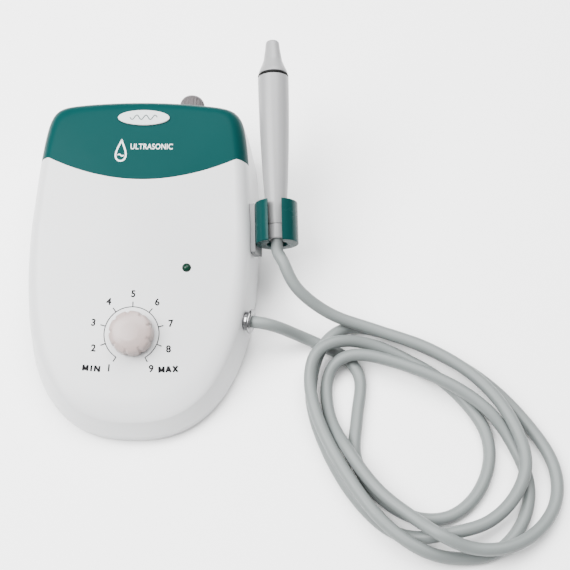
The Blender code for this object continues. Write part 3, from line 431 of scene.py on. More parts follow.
def fillet(profile, radius, steps=4):
    """A profile whose corners are rounded, each by no more than its neighbours allow."""
    rounded = [profile[0]]
    for before, corner, after in zip(profile, profile[1:], profile[2:]):
        before, corner, after = Vector(before), Vector(corner), Vector(after)
        to_before = before - corner
        to_after = after - corner
        reach = min(radius, to_before.length * 0.45, to_after.length * 0.45)
        start = corner + to_before.normalized() * reach
        end = corner + to_after.normalized() * reach
        for step in range(steps + 1):
            share = step / steps
            rounded.append(start.lerp(corner, share).lerp(corner.lerp(end, share), share))
    rounded.append(profile[-1])
    return [tuple(point) for point in rounded]


def turned(name, profile, spot, steps=96, closed=False, angle=35.0, carve=None):
    """A turned piece from (radius, height) points down its outer side.

    carve(radius, height, turn) says how far the surface is cut back there.
    """
    shape = bmesh.new()
    rings = []
    for radius, height in profile:
        if radius < 1e-7:
            rings.append([shape.verts.new((0.0, 0.0, height))])
            continue
        ring = []
        for k in range(steps):
            turn = 2 * math.pi * k / steps
            reach = radius - carve(radius, height, turn) if carve else radius
            ring.append(shape.verts.new((reach * math.cos(turn), reach * math.sin(turn), height)))
        rings.append(ring)
    pairs = list(zip(rings, rings[1:]))
    if closed:
        pairs.append((rings[-1], rings[0]))
    for upper, lower in pairs:
        join_rings(shape, upper, lower, steps)
    bmesh.ops.recalc_face_normals(shape, faces=shape.faces)
    made = finish_mesh(name, shape, angle)
    made.matrix_world = spot
    return made


def join_rings(shape, upper, lower, steps):
    """Faces between two rings, either of which may be a single point."""
    for k in range(steps):
        after = (k + 1) % steps
        corners = [upper[k % len(upper)], lower[k % len(lower)], lower[after % len(lower)],
                   upper[after % len(upper)]]
        unique = list(dict.fromkeys(corners))
        if len(unique) > 2:
            shape.faces.new(unique)


def rounded_box(name, size, spot, radius=0.0004, segments=3):
    """A box about a frame, with rounded edges."""
    shape = bmesh.new()
    bmesh.ops.create_cube(shape, size=1.0, matrix=Matrix.Diagonal((*size, 1.0)))
    if radius:
        bmesh.ops.bevel(shape, geom=shape.edges[:], offset=radius, segments=segments, profile=0.5,
                        affect='EDGES')
    made = finish_mesh(name, shape)
    made.matrix_world = spot
    return made


def outline_solid(name, points, low, high, spot):
    """A flat outline raised from one height to another."""
    shape = bmesh.new()
    face = shape.faces.new([shape.verts.new((x, y, low)) for x, y in points])
    raised = bmesh.ops.extrude_face_region(shape, geom=[face])
    moved = [item for item in raised["geom"] if isinstance(item, bmesh.types.BMVert)]
    bmesh.ops.translate(shape, verts=moved, vec=(0.0, 0.0, high - low))
    bmesh.ops.recalc_face_normals(shape, faces=shape.faces)
    made = finish_mesh(name, shape)
    made.matrix_world = spot
    return made


def combine(obj, others, operation='DIFFERENCE'):
    """Applies a Boolean with each other object, and removes the others."""
    for other in others:
        boolean = obj.modifiers.new("boolean", 'BOOLEAN')
        boolean.operation = operation
        boolean.solver = 'MANIFOLD'
        boolean.object = other
    bpy.context.view_layer.update()
    evaluated = obj.evaluated_get(bpy.context.evaluated_depsgraph_get())
    mesh = bpy.data.meshes.new_from_object(evaluated)
    mesh.materials.clear()
    obj.modifiers.clear()
    obj.data = mesh
    for other in others:
        bpy.data.objects.remove(other)
    mesh.shade_smooth()
    mesh.set_sharp_from_angle(angle=math.radians(35.0))
    return obj


def bar(name, radius, start, end, spot, tip=None, steps=64):
    """A plain round bar or cone along a frame's Z."""
    top = radius if tip is None else tip
    return turned(name, [(0.0, end), (top, end), (radius, start), (0.0, start)], spot, steps)


# ---------------------------------------------------------------- casing form
def casing_point(turn, scale, rise, inset=0.0):
    """A point of the casing's outer form, as in the CAD."""
    cosine = math.cos(turn)
    sine = math.sin(turn)
    to_rear = min(max(sine / 0.35, 0.0), 1.0)
    to_rear = to_rear * to_rear * (3.0 - 2.0 * to_rear)
    power = FRONT_POWER + (REAR_POWER - FRONT_POWER) * to_rear
    radius = (abs(cosine) ** power + abs(sine) ** power) ** (-1.0 / power)
    reach = (REAR_REACH if sine > 0 else FRONT_REACH) - inset
    x = (HALF_WIDTH - inset) * radius * cosine
    y = reach * radius * sine
    taper = 1.0 - REAR_TAPER * max(y / REAR_REACH, 0.0) ** TAPER_POWER
    lean = 1.0 - REAR_LEAN * to_rear * rise
    bow = 1.0 - REAR_BOW * to_rear * rise * (x / HALF_WIDTH) ** 2
    x *= taper * scale * lean
    y = MIDDLE_Y + y * scale * lean * bow
    top = FACE_HEIGHT - inset + FACE_SLOPE * y
    z = SPLIT_Z + (top - SPLIT_Z) * rise + CROWN * (1.0 - scale * scale)
    return Vector((x, y, z))


def casing_stations():
    """(scale, rise) of each ring of the casing, close together round the edge."""
    stations = [(1.0 - WALL_DRAFT * step / 10, step / 10) for step in range(6)]
    for step in range(25):
        angle = math.radians(90.0 * step / 24)
        stations.append((0.82 + 0.135 * math.cos(angle), 0.72 + 0.28 * math.sin(angle)))
    stations += [(0.82 - 0.063 * step, 1.0) for step in range(1, 13)]
    return stations


def casing_solid(name, inset=0.0, floor=SPLIT_Z, sides=256):
    """The casing's form as one closed solid that ends on a flat floor."""
    shape = bmesh.new()
    turns = [2 * math.pi * i / sides for i in range(sides)]
    rings = [[casing_point(turn, scale, rise, inset) for turn in turns]
             for scale, rise in casing_stations()]
    base = [Vector((point.x, point.y, floor)) for point in rings[0]]
    if floor < SPLIT_Z:
        rings.insert(0, base)
    else:
        rings[0] = base
    loops = [[shape.verts.new(point) for point in ring] for ring in rings]
    for lower, upper in zip(loops, loops[1:]):
        for i in range(sides):
            after = (i + 1) % sides
            shape.faces.new((lower[i], lower[after], upper[after], upper[i]))
    peak = shape.verts.new((0.0, MIDDLE_Y, casing_point(0.0, 0.0, 1.0, inset).z))
    for i in range(sides):
        shape.faces.new((loops[-1][i], loops[-1][(i + 1) % sides], peak))
    shape.faces.new(list(reversed(loops[0])))
    return finish_mesh(name, shape)


def face_height(x, y):
    """Height of the crowned face over a point of the plan."""
    reach = REAR_REACH if y > MIDDLE_Y else FRONT_REACH
    scale = 0.5
    for _ in range(8):
        share = min(max((y - MIDDLE_Y) / (scale * REAR_REACH), 0.0), 1.0)
        taper = 1.0 - REAR_TAPER * share ** TAPER_POWER
        turn = math.atan2((y - MIDDLE_Y) / reach, x / (HALF_WIDTH * taper))
        edge = casing_point(turn, 1.0, 1.0)
        scale = max(math.hypot(x, y - MIDDLE_Y) / math.hypot(edge.x, edge.y - MIDDLE_Y), 0.01)
    return FACE_HEIGHT + FACE_SLOPE * y + CROWN * (1.0 - scale * scale)


def on_face(x, y, lift=0.0):
    """A frame on the face whose Z leaves the face and whose Y climbs it."""
    step = 0.001
    rise_x = (face_height(x + step, y) - face_height(x - step, y)) / (2 * step)
    rise_y = (face_height(x, y + step) - face_height(x, y - step)) / (2 * step)
    normal = Vector((-rise_x, -rise_y, 1.0)).normalized()
    return along(Vector((x, y, face_height(x, y))) + normal * lift, normal)


def cover_region(name, inset):
    """A cutter that holds the rear cover: behind a bowed edge and above a skirt line."""
    kink_x, kink_y = COVER_EDGE_KINK
    outline = []
    for step in range(65):
        share = step / 32.0 - 1.0
        bow = kink_y - (kink_y - COVER_EDGE_MIDDLE) * (1.0 - share * share)
        outline.append((kink_x * share, bow + inset))
    outline.append((0.09, kink_y - 0.002 + inset))
    outline.append((0.09, 0.14))
    outline.append((-0.09, 0.14))
    outline.append((-0.09, kink_y - 0.002 + inset))
    depth = 0.05
    slope = Matrix.Rotation(math.atan(FACE_SLOPE), 4, 'X')
    spot = Matrix.Translation((0.0, 0.0, FACE_HEIGHT)) @ slope
    return outline_solid(name, outline, inset - COVER_SKIRT, inset - COVER_SKIRT + depth, spot)


def gland_frame():
    """A frame on the right wall whose Z leaves the casing where the lead comes out."""
    scale = 1.0 - WALL_DRAFT * GLAND_RISE
    step = 0.01
    point = casing_point(GLAND_TURN, scale, GLAND_RISE)
    round_the_wall = (casing_point(GLAND_TURN + step, scale, GLAND_RISE)
                      - casing_point(GLAND_TURN - step, scale, GLAND_RISE))
    up_the_wall = (casing_point(GLAND_TURN, scale - 0.005, GLAND_RISE + 0.1) - point)
    return along(point, round_the_wall.cross(up_the_wall))


def on_axis(distance):
    """A point of the handpiece's axis at a distance from the tail's end."""
    return TAIL + AXIS * distance


# ---------------------------------------------------------------- casing pieces
def make_panel_rim():
    """A rim inside the rear wall that closes the space between the wall and the panel."""
    height = PANEL_HIGH - PANEL_LOW
    size = (2 * (PANEL_HALF_WIDTH + PANEL_RIM), PANEL_RIM_DEPTH, height + 2 * PANEL_RIM)
    middle = (0.0, PANEL_OUTER_Y - PANEL_THICKNESS + PANEL_RIM_DEPTH / 2, (PANEL_HIGH + PANEL_LOW) / 2)
    rim = rounded_box("rim", size, Matrix.Translation(middle), 0.0)
    combine(rim, [casing_solid("rim_limit", inset=WALL / 2, floor=0.0, sides=INNER_SIDES)], 'INTERSECT')
    return rim


def make_casing():
    """Shell, rear cover and base tray."""
    shell = casing_solid("shell", floor=SPLIT_Z + GAP)
    window_size = (2 * (PANEL_HALF_WIDTH + GAP), 0.03, PANEL_HIGH - PANEL_LOW + 2 * GAP)
    window_middle = Matrix.Translation((0.0, PANEL_OUTER_Y + 0.003, (PANEL_HIGH + PANEL_LOW) / 2))
    window = rounded_box("window", window_size, window_middle, radius=0.001)
    dial = on_face(0.0, DIAL_Y)
    lamp = on_face(*LAMP)
    combine(shell, [casing_solid("inside", inset=WALL, floor=0.0, sides=INNER_SIDES),
                    cover_region("notch", 0.0)])
    combine(shell, [make_panel_rim()], 'UNION')
    combine(shell, [window,
                    bar("dial_hole", 0.0049, -0.012, 0.012, dial),
                    bar("lamp_hole", 0.0029, -0.012, 0.012, lamp),
                    bar("gland_hole", 0.0059, -0.012, 0.012, gland_frame())])
    add_piece(shell, WHITE, node="upper_shell")

    cover = casing_solid("cover")
    combine(cover, [cover_region("keep", GAP)], 'INTERSECT')
    combine(cover, [casing_solid("inside", inset=WALL, floor=0.0, sides=INNER_SIDES)])
    add_piece(cover, GREEN, node="rear_cover")

    tray = casing_solid("tray", inset=TRAY_INSET, floor=TRAY_BOTTOM)
    above = rounded_box("above", (0.2, 0.3, 0.1), Matrix.Translation((0.0, 0.0, SPLIT_Z + 0.05)), 0.0)
    inside = casing_solid("tray_inside", inset=WALL + TRAY_INSET, floor=TRAY_FLOOR, sides=INNER_SIDES)
    holes = [bar("hole", 0.0036, 0.0, TRAY_FLOOR, Matrix.Translation((x, y, 0.0)))
             for x, y in CASE_SCREWS]
    combine(tray, [above, inside, *holes])
    add_piece(tray, WHITE, node="base_tray")


def make_feet_and_screws():
    """Rubber feet and the case screws' heads."""
    for i, (x, y) in enumerate(FEET, start=1):
        top = TRAY_BOTTOM - GAP
        profile = fillet([(0.0, top), (0.0060, top), (0.0060, 0.0005), (0.0055, 0.0), (0.0, 0.0)],
                         0.0004)
        foot = turned("foot_pad", profile, Matrix.Translation((x, y, 0.0)))
        add_piece(foot, RUBBER, node=f"foot_{i}")
    for i, (x, y) in enumerate(CASE_SCREWS, start=1):
        profile = fillet([(0.0, 0.021), (0.0012, 0.020), (0.0012, 0.0042), (0.0031, 0.0042),
                          (0.0031, 0.0026), (0.0, 0.0026)], 0.0003)
        spot = Matrix.Translation((x, y, 0.0))
        screw = turned("screw", profile, spot, steps=48)
        slots = [rounded_box("slot", size, spot @ Matrix.Translation((0.0, 0.0, 0.0027)), 0.0)
                 for size in ((0.0036, 0.0008, 0.0016), (0.0008, 0.0036, 0.0016))]
        combine(screw, slots)
        add_piece(screw, STEEL, node=f"case_screw_{i}")


def make_badge():
    """The oval badge with a plain wave on it."""
    seat = on_face(0.0, BADGE_Y, 0.0004)
    shape = bmesh.new()
    rings = []
    for share, height in ((1.0, 0.0), (1.0, 0.0004), (0.985, 0.0007), (0.96, 0.0008), (0.9, 0.00085)):
        ring = []
        for step in range(96):
            angle = 2 * math.pi * step / 96
            x = BADGE_HALF_LENGTH * share * math.cos(angle)
            y = BADGE_HALF_WIDTH * (1 - (1 - share) * 2.0) * math.sin(angle)
            ring.append(shape.verts.new((x, y, height)))
        rings.append(ring)
    for lower, upper in zip(rings, rings[1:]):
        join_rings(shape, upper, lower, 96)
    shape.faces.new(rings[-1])
    shape.faces.new(list(reversed(rings[0])))
    bmesh.ops.recalc_face_normals(shape, faces=shape.faces)
    badge = finish_mesh("badge", shape)
    badge.matrix_world = seat
    add_piece(badge, PALE, node="badge_plate")
    points = []
    for step in range(49):
        x = -0.009 + 0.018 * step / 48
        points.append(Vector((x, 0.0016 * math.sin(x / 0.018 * 6 * math.pi), 0.0)))
    add_piece(strip("wave", points, 0.0007, seat @ Matrix.Translation((0.0, 0.0, 0.00090))), MARK)


def strip(name, points, width, spot, closed=False):
    """A flat line of a width through points of a plane."""
    shape = bmesh.new()
    rows = []
    last = len(points) - 1
    for i, point in enumerate(points):
        if closed:
            ahead = points[(i + 1) % len(points)] - points[i - 1]
        else:
            ahead = points[min(i + 1, last)] - points[max(i - 1, 0)]
        side = Vector((-ahead.y, ahead.x, 0.0)).normalized() * (width / 2)
        rows.append((shape.verts.new(point - side), shape.verts.new(point + side)))
    if closed:
        rows.append(rows[0])
    for (a, b), (c, d) in zip(rows, rows[1:]):
        shape.faces.new((a, c, d, b))
    made = finish_mesh(name, shape)
    made.matrix_world = spot
    return made


# ---------------------------------------------------------------- dial print
def print_frame(x, y):
    """A frame on the face's surface, a hair above it, at face distances from the dial's centre."""
    slope = math.cos(math.atan(FACE_SLOPE))
    return on_face(PRINT_CENTRE.x + x, DIAL_Y + (PRINT_CENTRE.y + y) * slope, 0.00004)


def dial_direction(share):
    """The plan angle of a share of the dial's sweep, from the first mark round to the last."""
    return math.radians(-90.0) - (math.radians(360.0) - DIAL_SWEEP) / 2 - DIAL_SWEEP * share


def lettering(text, height, spot, weight=0.0):
    """A word or number as a thin printed shape, centred on a frame."""
    curve = bpy.data.curves.new("lettering", 'FONT')
    curve.body = text
    curve.align_x = 'CENTER'
    curve.align_y = 'CENTER'
    curve.size = height / 0.73
    curve.bevel_depth = weight
    curve.bevel_resolution = 0
    curve.resolution_u = 6
    curve.space_character = 1.06
    holder = bpy.data.objects.new("lettering", curve)
    bpy.context.scene.collection.objects.link(holder)
    bpy.context.view_layer.update()
    mesh = bpy.data.meshes.new_from_object(holder.evaluated_get(bpy.context.evaluated_depsgraph_get()))
    bpy.data.objects.remove(holder)
    made = bpy.data.objects.new("print_" + text, mesh)
    bpy.context.scene.collection.objects.link(made)
    made.matrix_world = spot @ Matrix.Diagonal((1.0, 1.0, 0.1, 1.0))
    return made


def stroke_word(text, spot):
    """A bold word of straight strokes, centred on a frame. Each stroke runs between two corners."""
    strokes = {
        "M": [((0, 0), (0, 1)), ((0, 1), (0.5, 0.15)), ((0.5, 0.15), (1, 1)), ((1, 1), (1, 0))],
        "I": [((0.5, 0), (0.5, 1))],
        "N": [((0, 0), (0, 1)), ((0, 1), (1, 0)), ((1, 0), (1, 1))],
        "A": [((0, 0), (0.5, 1)), ((0.5, 1), (1, 0)), ((0.22, 0.3), (0.78, 0.3))],
        "X": [((0, 0), (1, 1)), ((0, 1), (1, 0))],
    }
    advance = {"I": 0.72}
    reach = sum(WORD_PITCH * advance.get(letter, 1.0) for letter in text)
    left = -reach / 2
    for letter in text:
        room = WORD_PITCH * advance.get(letter, 1.0)
        start = left + (room - WORD_LETTER_WIDTH) / 2
        for first, last in strokes[letter]:
            ends = [Vector((start + x * WORD_LETTER_WIDTH, (y - 0.5) * WORD_HEIGHT, 0.0))
                    for x, y in (first, last)]
            add_piece(strip("stroke", ends, WORD_WEIGHT, spot), PRINT)
        left += room


def make_dial_print():
    """Ring, ticks, numbers and end words round the dial."""
    seat = print_frame(0.0, 0.0)
    arc = []
    for step in range(97):
        angle = dial_direction(step / 96)
        arc.append(Vector((RING_RADIUS * math.cos(angle), RING_RADIUS * math.sin(angle), 0.0)))
    add_piece(strip("dial_ring", arc, RING_WIDTH, seat), RING_INK)
    for number in range(9):
        angle = dial_direction(number / 8)
        outward = Vector((math.cos(angle), math.sin(angle), 0.0))
        ends = [outward * RING_RADIUS, outward * (RING_RADIUS + TICK_LENGTH)]
        tick = strip("tick", ends, TICK_WIDTH, seat)
        add_piece(tick, RING_INK)
        spot = print_frame(outward.x * NUMBER_RADIUS, outward.y * NUMBER_RADIUS)
        digit = lettering(str(number + 1), NUMBER_HEIGHT, spot, weight=0.00021)
        add_piece(digit, PRINT)
    for word, x in (("MIN", -0.0242), ("MAX", 0.0240)):
        stroke_word(word, print_frame(x, -0.0216))


def make_cover_mark():
    """A white water drop and the word for the machine on the rear cover."""
    seat = on_face(-0.0137, 0.0612, 0.00006)
    drop = []
    for step in range(48):
        angle = 2 * math.pi * step / 48
        pull = math.sin(angle / 2) ** 1.6
        drop.append(Vector((0.0048 * math.sin(angle) * pull, 0.0074 * math.cos(angle), 0.0)))
    add_piece(strip("drop", drop, 0.0011, seat, closed=True), WHITE_INK)
    ripple = [Vector((-0.0020 + 0.0040 * share, -0.0034 + 0.0006 * math.sin(share * 2 * math.pi), 0.0))
              for share in [k / 24 for k in range(25)]]
    add_piece(strip("ripple", ripple, 0.0008, seat), WHITE_INK)
    narrow = Matrix.Diagonal((0.80, 1.0, 1.0, 1.0))
    word = lettering("ULTRASONIC", 0.0040, on_face(0.0062, 0.0637, 0.00006) @ narrow, weight=0.00009)
    add_piece(word, WHITE_INK)


# ---------------------------------------------------------------- knob and lamp
def knob_flutes(radius, height, turn):
    """How far the dial knob's side is cut back by its flutes."""
    wave = math.cos(turn * FLUTES + math.pi)
    return 0.0009 * max(wave - 0.6, 0.0) / 0.4 if radius > 0.0112 else 0.0


def make_knob():
    """The domed dial knob with shallow flutes."""
    low = 0.0012
    top = low + KNOB_HEIGHT
    rim = top - 0.0030
    profile = fillet([(0.0, top), (0.0062, top - 0.0003), (0.0102, top - 0.0013),
                      (KNOB_RADIUS - 0.0012, rim + 0.0004), (KNOB_RADIUS - 0.0004, rim - 0.0012),
                      (KNOB_RADIUS, low + 0.0006), (KNOB_RADIUS - 0.0004, low), (0.0098, low),
                      (0.0098, low + 0.0045), (0.0033, low + 0.0045), (0.0033, low + 0.0100),
                      (0.0, low + 0.0100)], 0.0012, 6)
    knob = turned("knob", profile, on_face(0.0, DIAL_Y), steps=216, angle=50.0, carve=knob_flutes)
    add_piece(knob, KNOB, "power_dial", "power_knob")


def make_lamp():
    """The lamp's dark green dome."""
    profile = fillet([(0.0, 0.0014), (0.0010, 0.0012), (0.0019, 0.0007), (0.0025, -0.0002),
                      (0.0025, -0.0072), (0.0, -0.0072)], 0.0006, 6)
    add_piece(turned("lamp", profile, on_face(*LAMP), angle=60.0), LAMP_GREEN,
              node="indicator_led")


# ---------------------------------------------------------------- rear connections
def rear(x, z):
    """A frame on the connection panel whose Z leaves it to the rear."""
    return along((x, PANEL_OUTER_Y, z), (0, 1, 0))


def make_panel():
    """The connection panel, its sockets and the switch."""
    height = PANEL_HIGH - PANEL_LOW
    spot = Matrix.Translation((0.0, PANEL_OUTER_Y - PANEL_THICKNESS / 2, PANEL_LOW + height / 2))
    panel = rounded_box("panel", (2 * PANEL_HALF_WIDTH, PANEL_THICKNESS, height), spot, 0.0006)
    holes = [bar("hole", radius, -0.01, 0.01, rear(x, z))
             for x, z, radius in ((POWER_X, CONNECTOR_Z, 0.0063), (FOOT_X, CONNECTOR_Z, 0.0063),
                                  (WATER_KNOB.x, WATER_KNOB.z, 0.0043),
                                  (WATER_INLET.x, WATER_INLET.z, 0.0043))]
    seat = Matrix.Translation((SWITCH_X, PANEL_OUTER_Y, CONNECTOR_Z))
    holes.append(rounded_box("cutout", (0.0136, 0.02, 0.0196), seat, 0.0))
    combine(panel, holes)
    add_piece(panel, DARK_GREY, node="rear_panel")

    power = fillet([(0.0, 0.0060), (0.0010, 0.0055), (0.0010, -0.0035), (0.0042, -0.0035),
                    (0.0042, 0.0110), (0.0058, 0.0110), (0.0058, 0.0026), (0.0078, 0.0026),
                    (0.0078, GAP), (0.0060, GAP), (0.0060, -0.0110), (0.0, -0.0110)], 0.0004)
    add_piece(turned("power_barrel", power, rear(POWER_X, CONNECTOR_Z)), BLACK,
              node="power_socket")
    foot = fillet([(0.0, 0.0055), (0.0012, 0.0050), (0.0012, -0.0030), (0.0046, -0.0030),
                   (0.0046, 0.0090), (0.0060, 0.0090), (0.0060, 0.0026), (0.0080, 0.0026),
                   (0.0080, GAP), (0.0060, GAP), (0.0060, -0.0120), (0.0, -0.0120)], 0.0003)
    add_piece(turned("foot_barrel", foot, rear(FOOT_X, CONNECTOR_Z)), STEEL,
              node="foot_switch_socket")

    body = rounded_box("switch_body", (0.0130, 0.0130, 0.0190),
                       seat @ Matrix.Translation((0.0, -0.006, 0.0)), 0.0003)
    flange = rounded_box("flange", (0.0150, 0.0018, 0.0210),
                         seat @ Matrix.Translation((0.0, GAP + 0.0009, 0.0)), 0.0005)
    combine(body, [flange], 'UNION')
    combine(body, [rounded_box("well", (0.0100, 0.0120, 0.0160), seat, 0.0)])
    add_piece(body, BLACK, node="switch_frame")
    make_rocker(seat)


def make_rocker(seat):
    """The rocker with a stroke at one end and a ring at the other."""
    profile = fillet([(0.0, 0.0016), (0.0068, 0.0032), (0.0062, -0.0012), (0.0, -0.0034),
                      (-0.0062, -0.0012), (-0.0068, 0.0032), (0.0, 0.0016)], 0.0005)[1:-1]
    upright = Matrix((Vector((0, 0, 1)), Vector((0, 1, 0)), Vector((-1, 0, 0)))).transposed().to_4x4()
    tilt = Matrix.Rotation(math.radians(-8.0), 4, 'X')
    spot = seat @ tilt @ upright
    rocker = outline_solid("rocker", profile, -0.0046, 0.0046, spot)
    add_piece(rocker, BLACK, "switch_rocker", "power_rocker")
    lean = math.atan2(0.0016, 0.0068)
    for side in (-1, 1):
        pad = spot @ Matrix.Translation((0.0040 * side, 0.00262, 0.0))
        pad = pad @ Matrix.Rotation(lean * side, 4, 'Z') @ Matrix.Rotation(math.radians(-90.0), 4, 'X')
        if side > 0:
            points = [Vector((0.0, -0.0012, 0.0)), Vector((0.0, 0.0012, 0.0))]
            mark = strip("stroke", points, 0.0005, pad)
        else:
            angles = [k * math.pi / 16 for k in range(32)]
            points = [Vector((0.0011 * math.cos(angle), 0.0011 * math.sin(angle), 0.0))
                      for angle in angles]
            mark = strip("ring", points, 0.0004, pad, closed=True)
        add_piece(mark, PALE, "switch_rocker")


def water_knob_ribs(radius, height, turn):
    """How far the water knob's side is cut back between its fine ribs."""
    ribbed = radius > 0.0083 and 0.0035 < height < 0.0160
    return 0.00025 * (1 + math.cos(turn * 24)) if ribbed else 0.0


def make_water_parts():
    """Water knob with fine ribs and the hose barb."""
    profile = fillet([(0.0, 0.0215), (0.0045, 0.0212), (0.0070, 0.0196), (0.0082, 0.0175),
                      (0.0085, 0.0155), (0.0085, 0.0028), (0.0080, 0.0020), (0.0056, 0.0020),
                      (0.0056, 0.0034), (0.0027, 0.0034), (0.0027, 0.0130), (0.0, 0.0130)], 0.0009, 5)
    knob = turned("water_cap", profile, rear(WATER_KNOB.x, WATER_KNOB.z), steps=240, angle=50.0,
                  carve=water_knob_ribs)
    add_piece(knob, DARK_GREY, "water_dial", "water_knob")
    barb = fillet([(0.0, 0.0060), (0.0012, 0.0060), (0.0012, 0.0180), (0.0024, 0.0180),
                   (0.0034, 0.0150), (0.0025, 0.0148), (0.0034, 0.0115), (0.0025, 0.0113),
                   (0.0034, 0.0080), (0.0025, 0.0078), (0.0025, 0.0050), (0.0062, 0.0050),
                   (0.0062, GAP), (0.0040, GAP), (0.0040, -0.0120), (0.0, -0.0120)], 0.0002)
    add_piece(turned("barb", barb, rear(WATER_INLET.x, WATER_INLET.z)), CHROME,
              node="water_inlet")


# ---------------------------------------------------------------- valve spring
def make_valve_spring():
    """The return spring over the valve's plunger, as a coil within the CAD spring's bounds."""
    low, high = (Vector(corner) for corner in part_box("valve_spring"))
    wire = 0.0004
    turns = 4
    points_per_turn = 16
    steps = turns * points_per_turn
    centre = (low + high) / 2
    coil = (high.x - low.x) / 2 - wire
    path = []
    for i in range(steps + 1):
        angle = 2 * math.pi * i / points_per_turn
        rise = (high.z - low.z - 2 * wire) * i / steps
        point = Vector((centre.x + coil * math.cos(angle), centre.y + coil * math.sin(angle),
                        low.z + wire + rise))
        path.append(CENTRE + point)
    spring = tube_mesh("valve_spring_coil", path, wire, sides=10)
    add_piece(spring, STEEL, node="valve_spring")
    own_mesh(spring)


# ---------------------------------------------------------------- gland and holder
def make_gland():
    """The bright gland with a rounded lip."""
    gland = fillet([(0.0, 0.0042), (0.0044, 0.0042), (0.0050, 0.0048), (0.0062, 0.0048),
                    (0.0075, 0.0042), (0.0080, 0.0033), (0.0075, 0.0024), (0.0062, 0.0020),
                    (0.0062, GAP), (0.0056, GAP), (0.0056, -0.0140), (0.0, -0.0140)], 0.0004)
    add_piece(turned("gland", gland, gland_frame()), CHROME, node="lead_gland")


def make_holder():
    """The C-shaped clip and the pad between it and the casing."""
    seat = along(TAIL, AXIS, CLIP_LEAN)
    low_bore, high_bore = 0.0067, 0.0087
    profile = fillet([(high_bore, CLIP_HIGH), (CLIP_RADIUS, CLIP_HIGH), (CLIP_RADIUS, CLIP_LOW),
                      (low_bore, CLIP_LOW), (high_bore, CLIP_HIGH)], 0.0005)[1:]
    clip = turned("clip", profile, seat, steps=160, closed=True)
    combine(clip, [rounded_box("slot", (CLIP_SLOT, 0.020, 0.040),
                               seat @ Matrix.Translation((0.0, 0.010, 0.012)), 0.0)])
    add_piece(clip, CLIP_GREEN, node="holder_clip")

    middle = seat @ Vector((0.0, -0.0040, 0.0075))
    turn = along((0, 0, 0), AXIS).to_3x3().to_4x4()
    pad = rounded_box("pad", (0.018, 0.013, 0.033),
                      Matrix.Translation((0.0745, middle.y, middle.z)) @ turn, 0.0008)
    combine(pad, [casing_solid("clearance", inset=-GAP, floor=0.0, sides=INNER_SIDES),
                  bar("clip_room", CLIP_RADIUS + GAP, -0.02, 0.05, seat, steps=96),
                  rounded_box("right", (0.03, 0.08, 0.08),
                              Matrix.Translation((0.0935, middle.y, middle.z)), 0.0)])
    # The pad's dark grey colour is painted shade over what is really white plastic.
    add_piece(pad, PAD_PAINTED_SHADE, node="holder_bracket")


# ---------------------------------------------------------------- handpiece
def sleeve_radius(distance):
    """Outer radius of the handpiece's sleeve at a distance from the tail's end."""
    share = max(distance - COLLAR_LENGTH, 0.0) / (SEAL_START - COLLAR_LENGTH)
    return 0.0060 + 0.0043 * math.sin(share * math.pi / 2) ** 0.85


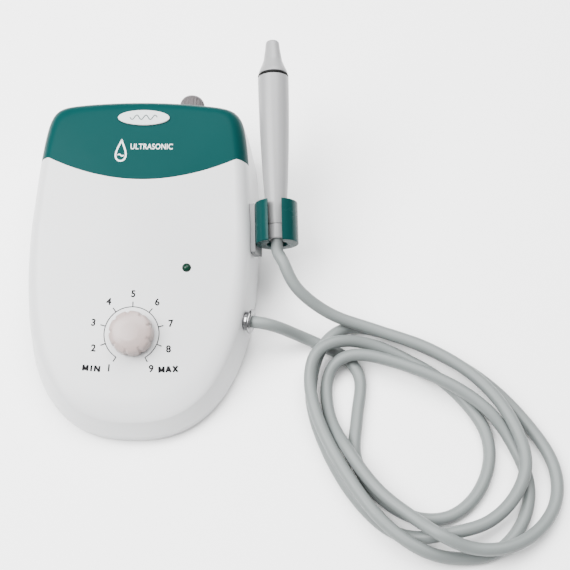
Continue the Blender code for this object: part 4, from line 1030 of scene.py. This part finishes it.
def make_handpiece():
    """Tail, sleeve, seal and nose."""
    seat = along(TAIL, AXIS)
    tail = fillet([(0.0, 0.0180), (0.0050, 0.0180), (0.0050, COLLAR_LENGTH - GAP),
                   (0.0058, COLLAR_LENGTH - GAP), (0.0058, 0.0006), (0.0052, 0.0), (0.0, 0.0)], 0.0003)
    add_piece(turned("tail", tail, seat), HAND_GREY, "handpiece",
              "handpiece_tail")
    outer = []
    for i in range(41):
        distance = SEAL_START + (COLLAR_LENGTH - SEAL_START) * i / 40
        outer.append((sleeve_radius(distance), distance))
    inner = []
    for distance in (COLLAR_LENGTH, 0.030, 0.060, SEAL_START):
        wall = 0.0006 if distance == COLLAR_LENGTH else 0.0014
        inner.append((sleeve_radius(distance) - wall, distance))
    add_piece(turned("sleeve", outer + inner, seat, closed=True), HAND_GREY,
              "handpiece", "handpiece_sleeve")
    seal_end = SEAL_START + SEAL_LENGTH
    seal = fillet([(0.0078, seal_end - GAP), (SEAL_RADIUS - 0.0004, seal_end - GAP),
                   (SEAL_RADIUS, SEAL_START + SEAL_LENGTH / 2), (SEAL_RADIUS - 0.0004, SEAL_START + GAP),
                   (0.0078, SEAL_START + GAP)], 0.0006)
    add_piece(turned("seal", seal, seat, closed=True), SEAL, "handpiece",
              "handpiece_seal")
    end = HANDPIECE_LENGTH
    nose = fillet([(0.0026, end - 0.0070), (0.0026, end), (0.0036, end), (0.0045, end - 0.0010),
                   (0.0050, end - 0.0060), (0.0063, seal_end + 0.0100), (0.0076, seal_end + 0.0064),
                   (0.0092, seal_end + 0.0028), (0.0098, seal_end + 0.0008), (0.0098, seal_end),
                   (0.0075, seal_end), (0.0075, SEAL_START + GAP), (0.0062, SEAL_START + GAP),
                   (0.0062, seal_end)], 0.0006)
    add_piece(turned("nose", nose, seat, closed=True), HAND_GREY, "handpiece",
              "handpiece_nose")
    horn = fillet([(0.0, end - 0.0015), (0.0016, end - 0.0020), (0.0018, end - 0.0120),
                   (0.0030, end - 0.0180), (0.0034, 0.0900), (0.0052, 0.0840), (0.0052, 0.0680),
                   (0.0, 0.0680)], 0.0003)
    add_piece(turned("horn", horn, seat), STEEL, "handpiece", "transducer_horn")


# ---------------------------------------------------------------- floor and light
def make_stage():
    """A pale floor under soft studio light."""
    shape = bmesh.new()
    bmesh.ops.create_grid(shape, x_segments=1, y_segments=1, size=3.0)
    floor = finish_mesh("floor", shape)
    paint = shader_material("floor_paint", (0.94, 0.94, 0.94), 0.7, grain=(300.0, 0.02), drift=0.004,
                            specular=0.1)
    floor.data.materials.append(paint)
    world = bpy.data.worlds.new("studio")
    world.use_nodes = True
    sky = world.node_tree.nodes["Background"]
    sky.inputs["Color"].default_value = (1.0, 1.0, 1.0, 1.0)
    place = world.node_tree.nodes.new("ShaderNodeTexCoord")
    height = world.node_tree.nodes.new("ShaderNodeSeparateXYZ")
    brighter = world.node_tree.nodes.new("ShaderNodeMapRange")
    brighter.inputs["To Min"].default_value = 0.15
    brighter.inputs["To Max"].default_value = 1.5
    world.node_tree.links.new(place.outputs["Generated"], height.inputs["Vector"])
    world.node_tree.links.new(height.outputs["Z"], brighter.inputs["Value"])
    world.node_tree.links.new(brighter.outputs["Result"], sky.inputs["Strength"])
    bpy.context.scene.world = world
    softbox("key", (-0.80, -0.15, 1.30), (0.0, 0.0, 0.03), 1.2, 84.0)
    softbox("top", (0.30, 0.60, 1.45), (0.05, 0.0, 0.0), 1.2, 48.0)


def softbox(name, spot, aim, size, power):
    """A square soft light that looks at a point."""
    data = bpy.data.lights.new(name, 'AREA')
    data.size = size
    data.energy = power
    lamp = bpy.data.objects.new(name, data)
    direction = Vector(aim) - Vector(spot)
    turn = direction.to_track_quat('-Z', 'Y').to_matrix().to_4x4()
    lamp.matrix_world = Matrix.Translation(spot) @ turn
    bpy.context.scene.collection.objects.link(lamp)


make_camera()
dress_frame()
make_lead()
make_casing()
make_feet_and_screws()
make_badge()
make_dial_print()
make_cover_mark()
make_knob()
make_lamp()
make_panel()
make_water_parts()
make_valve_spring()
make_gland()
make_holder()
make_handpiece()
make_stage()
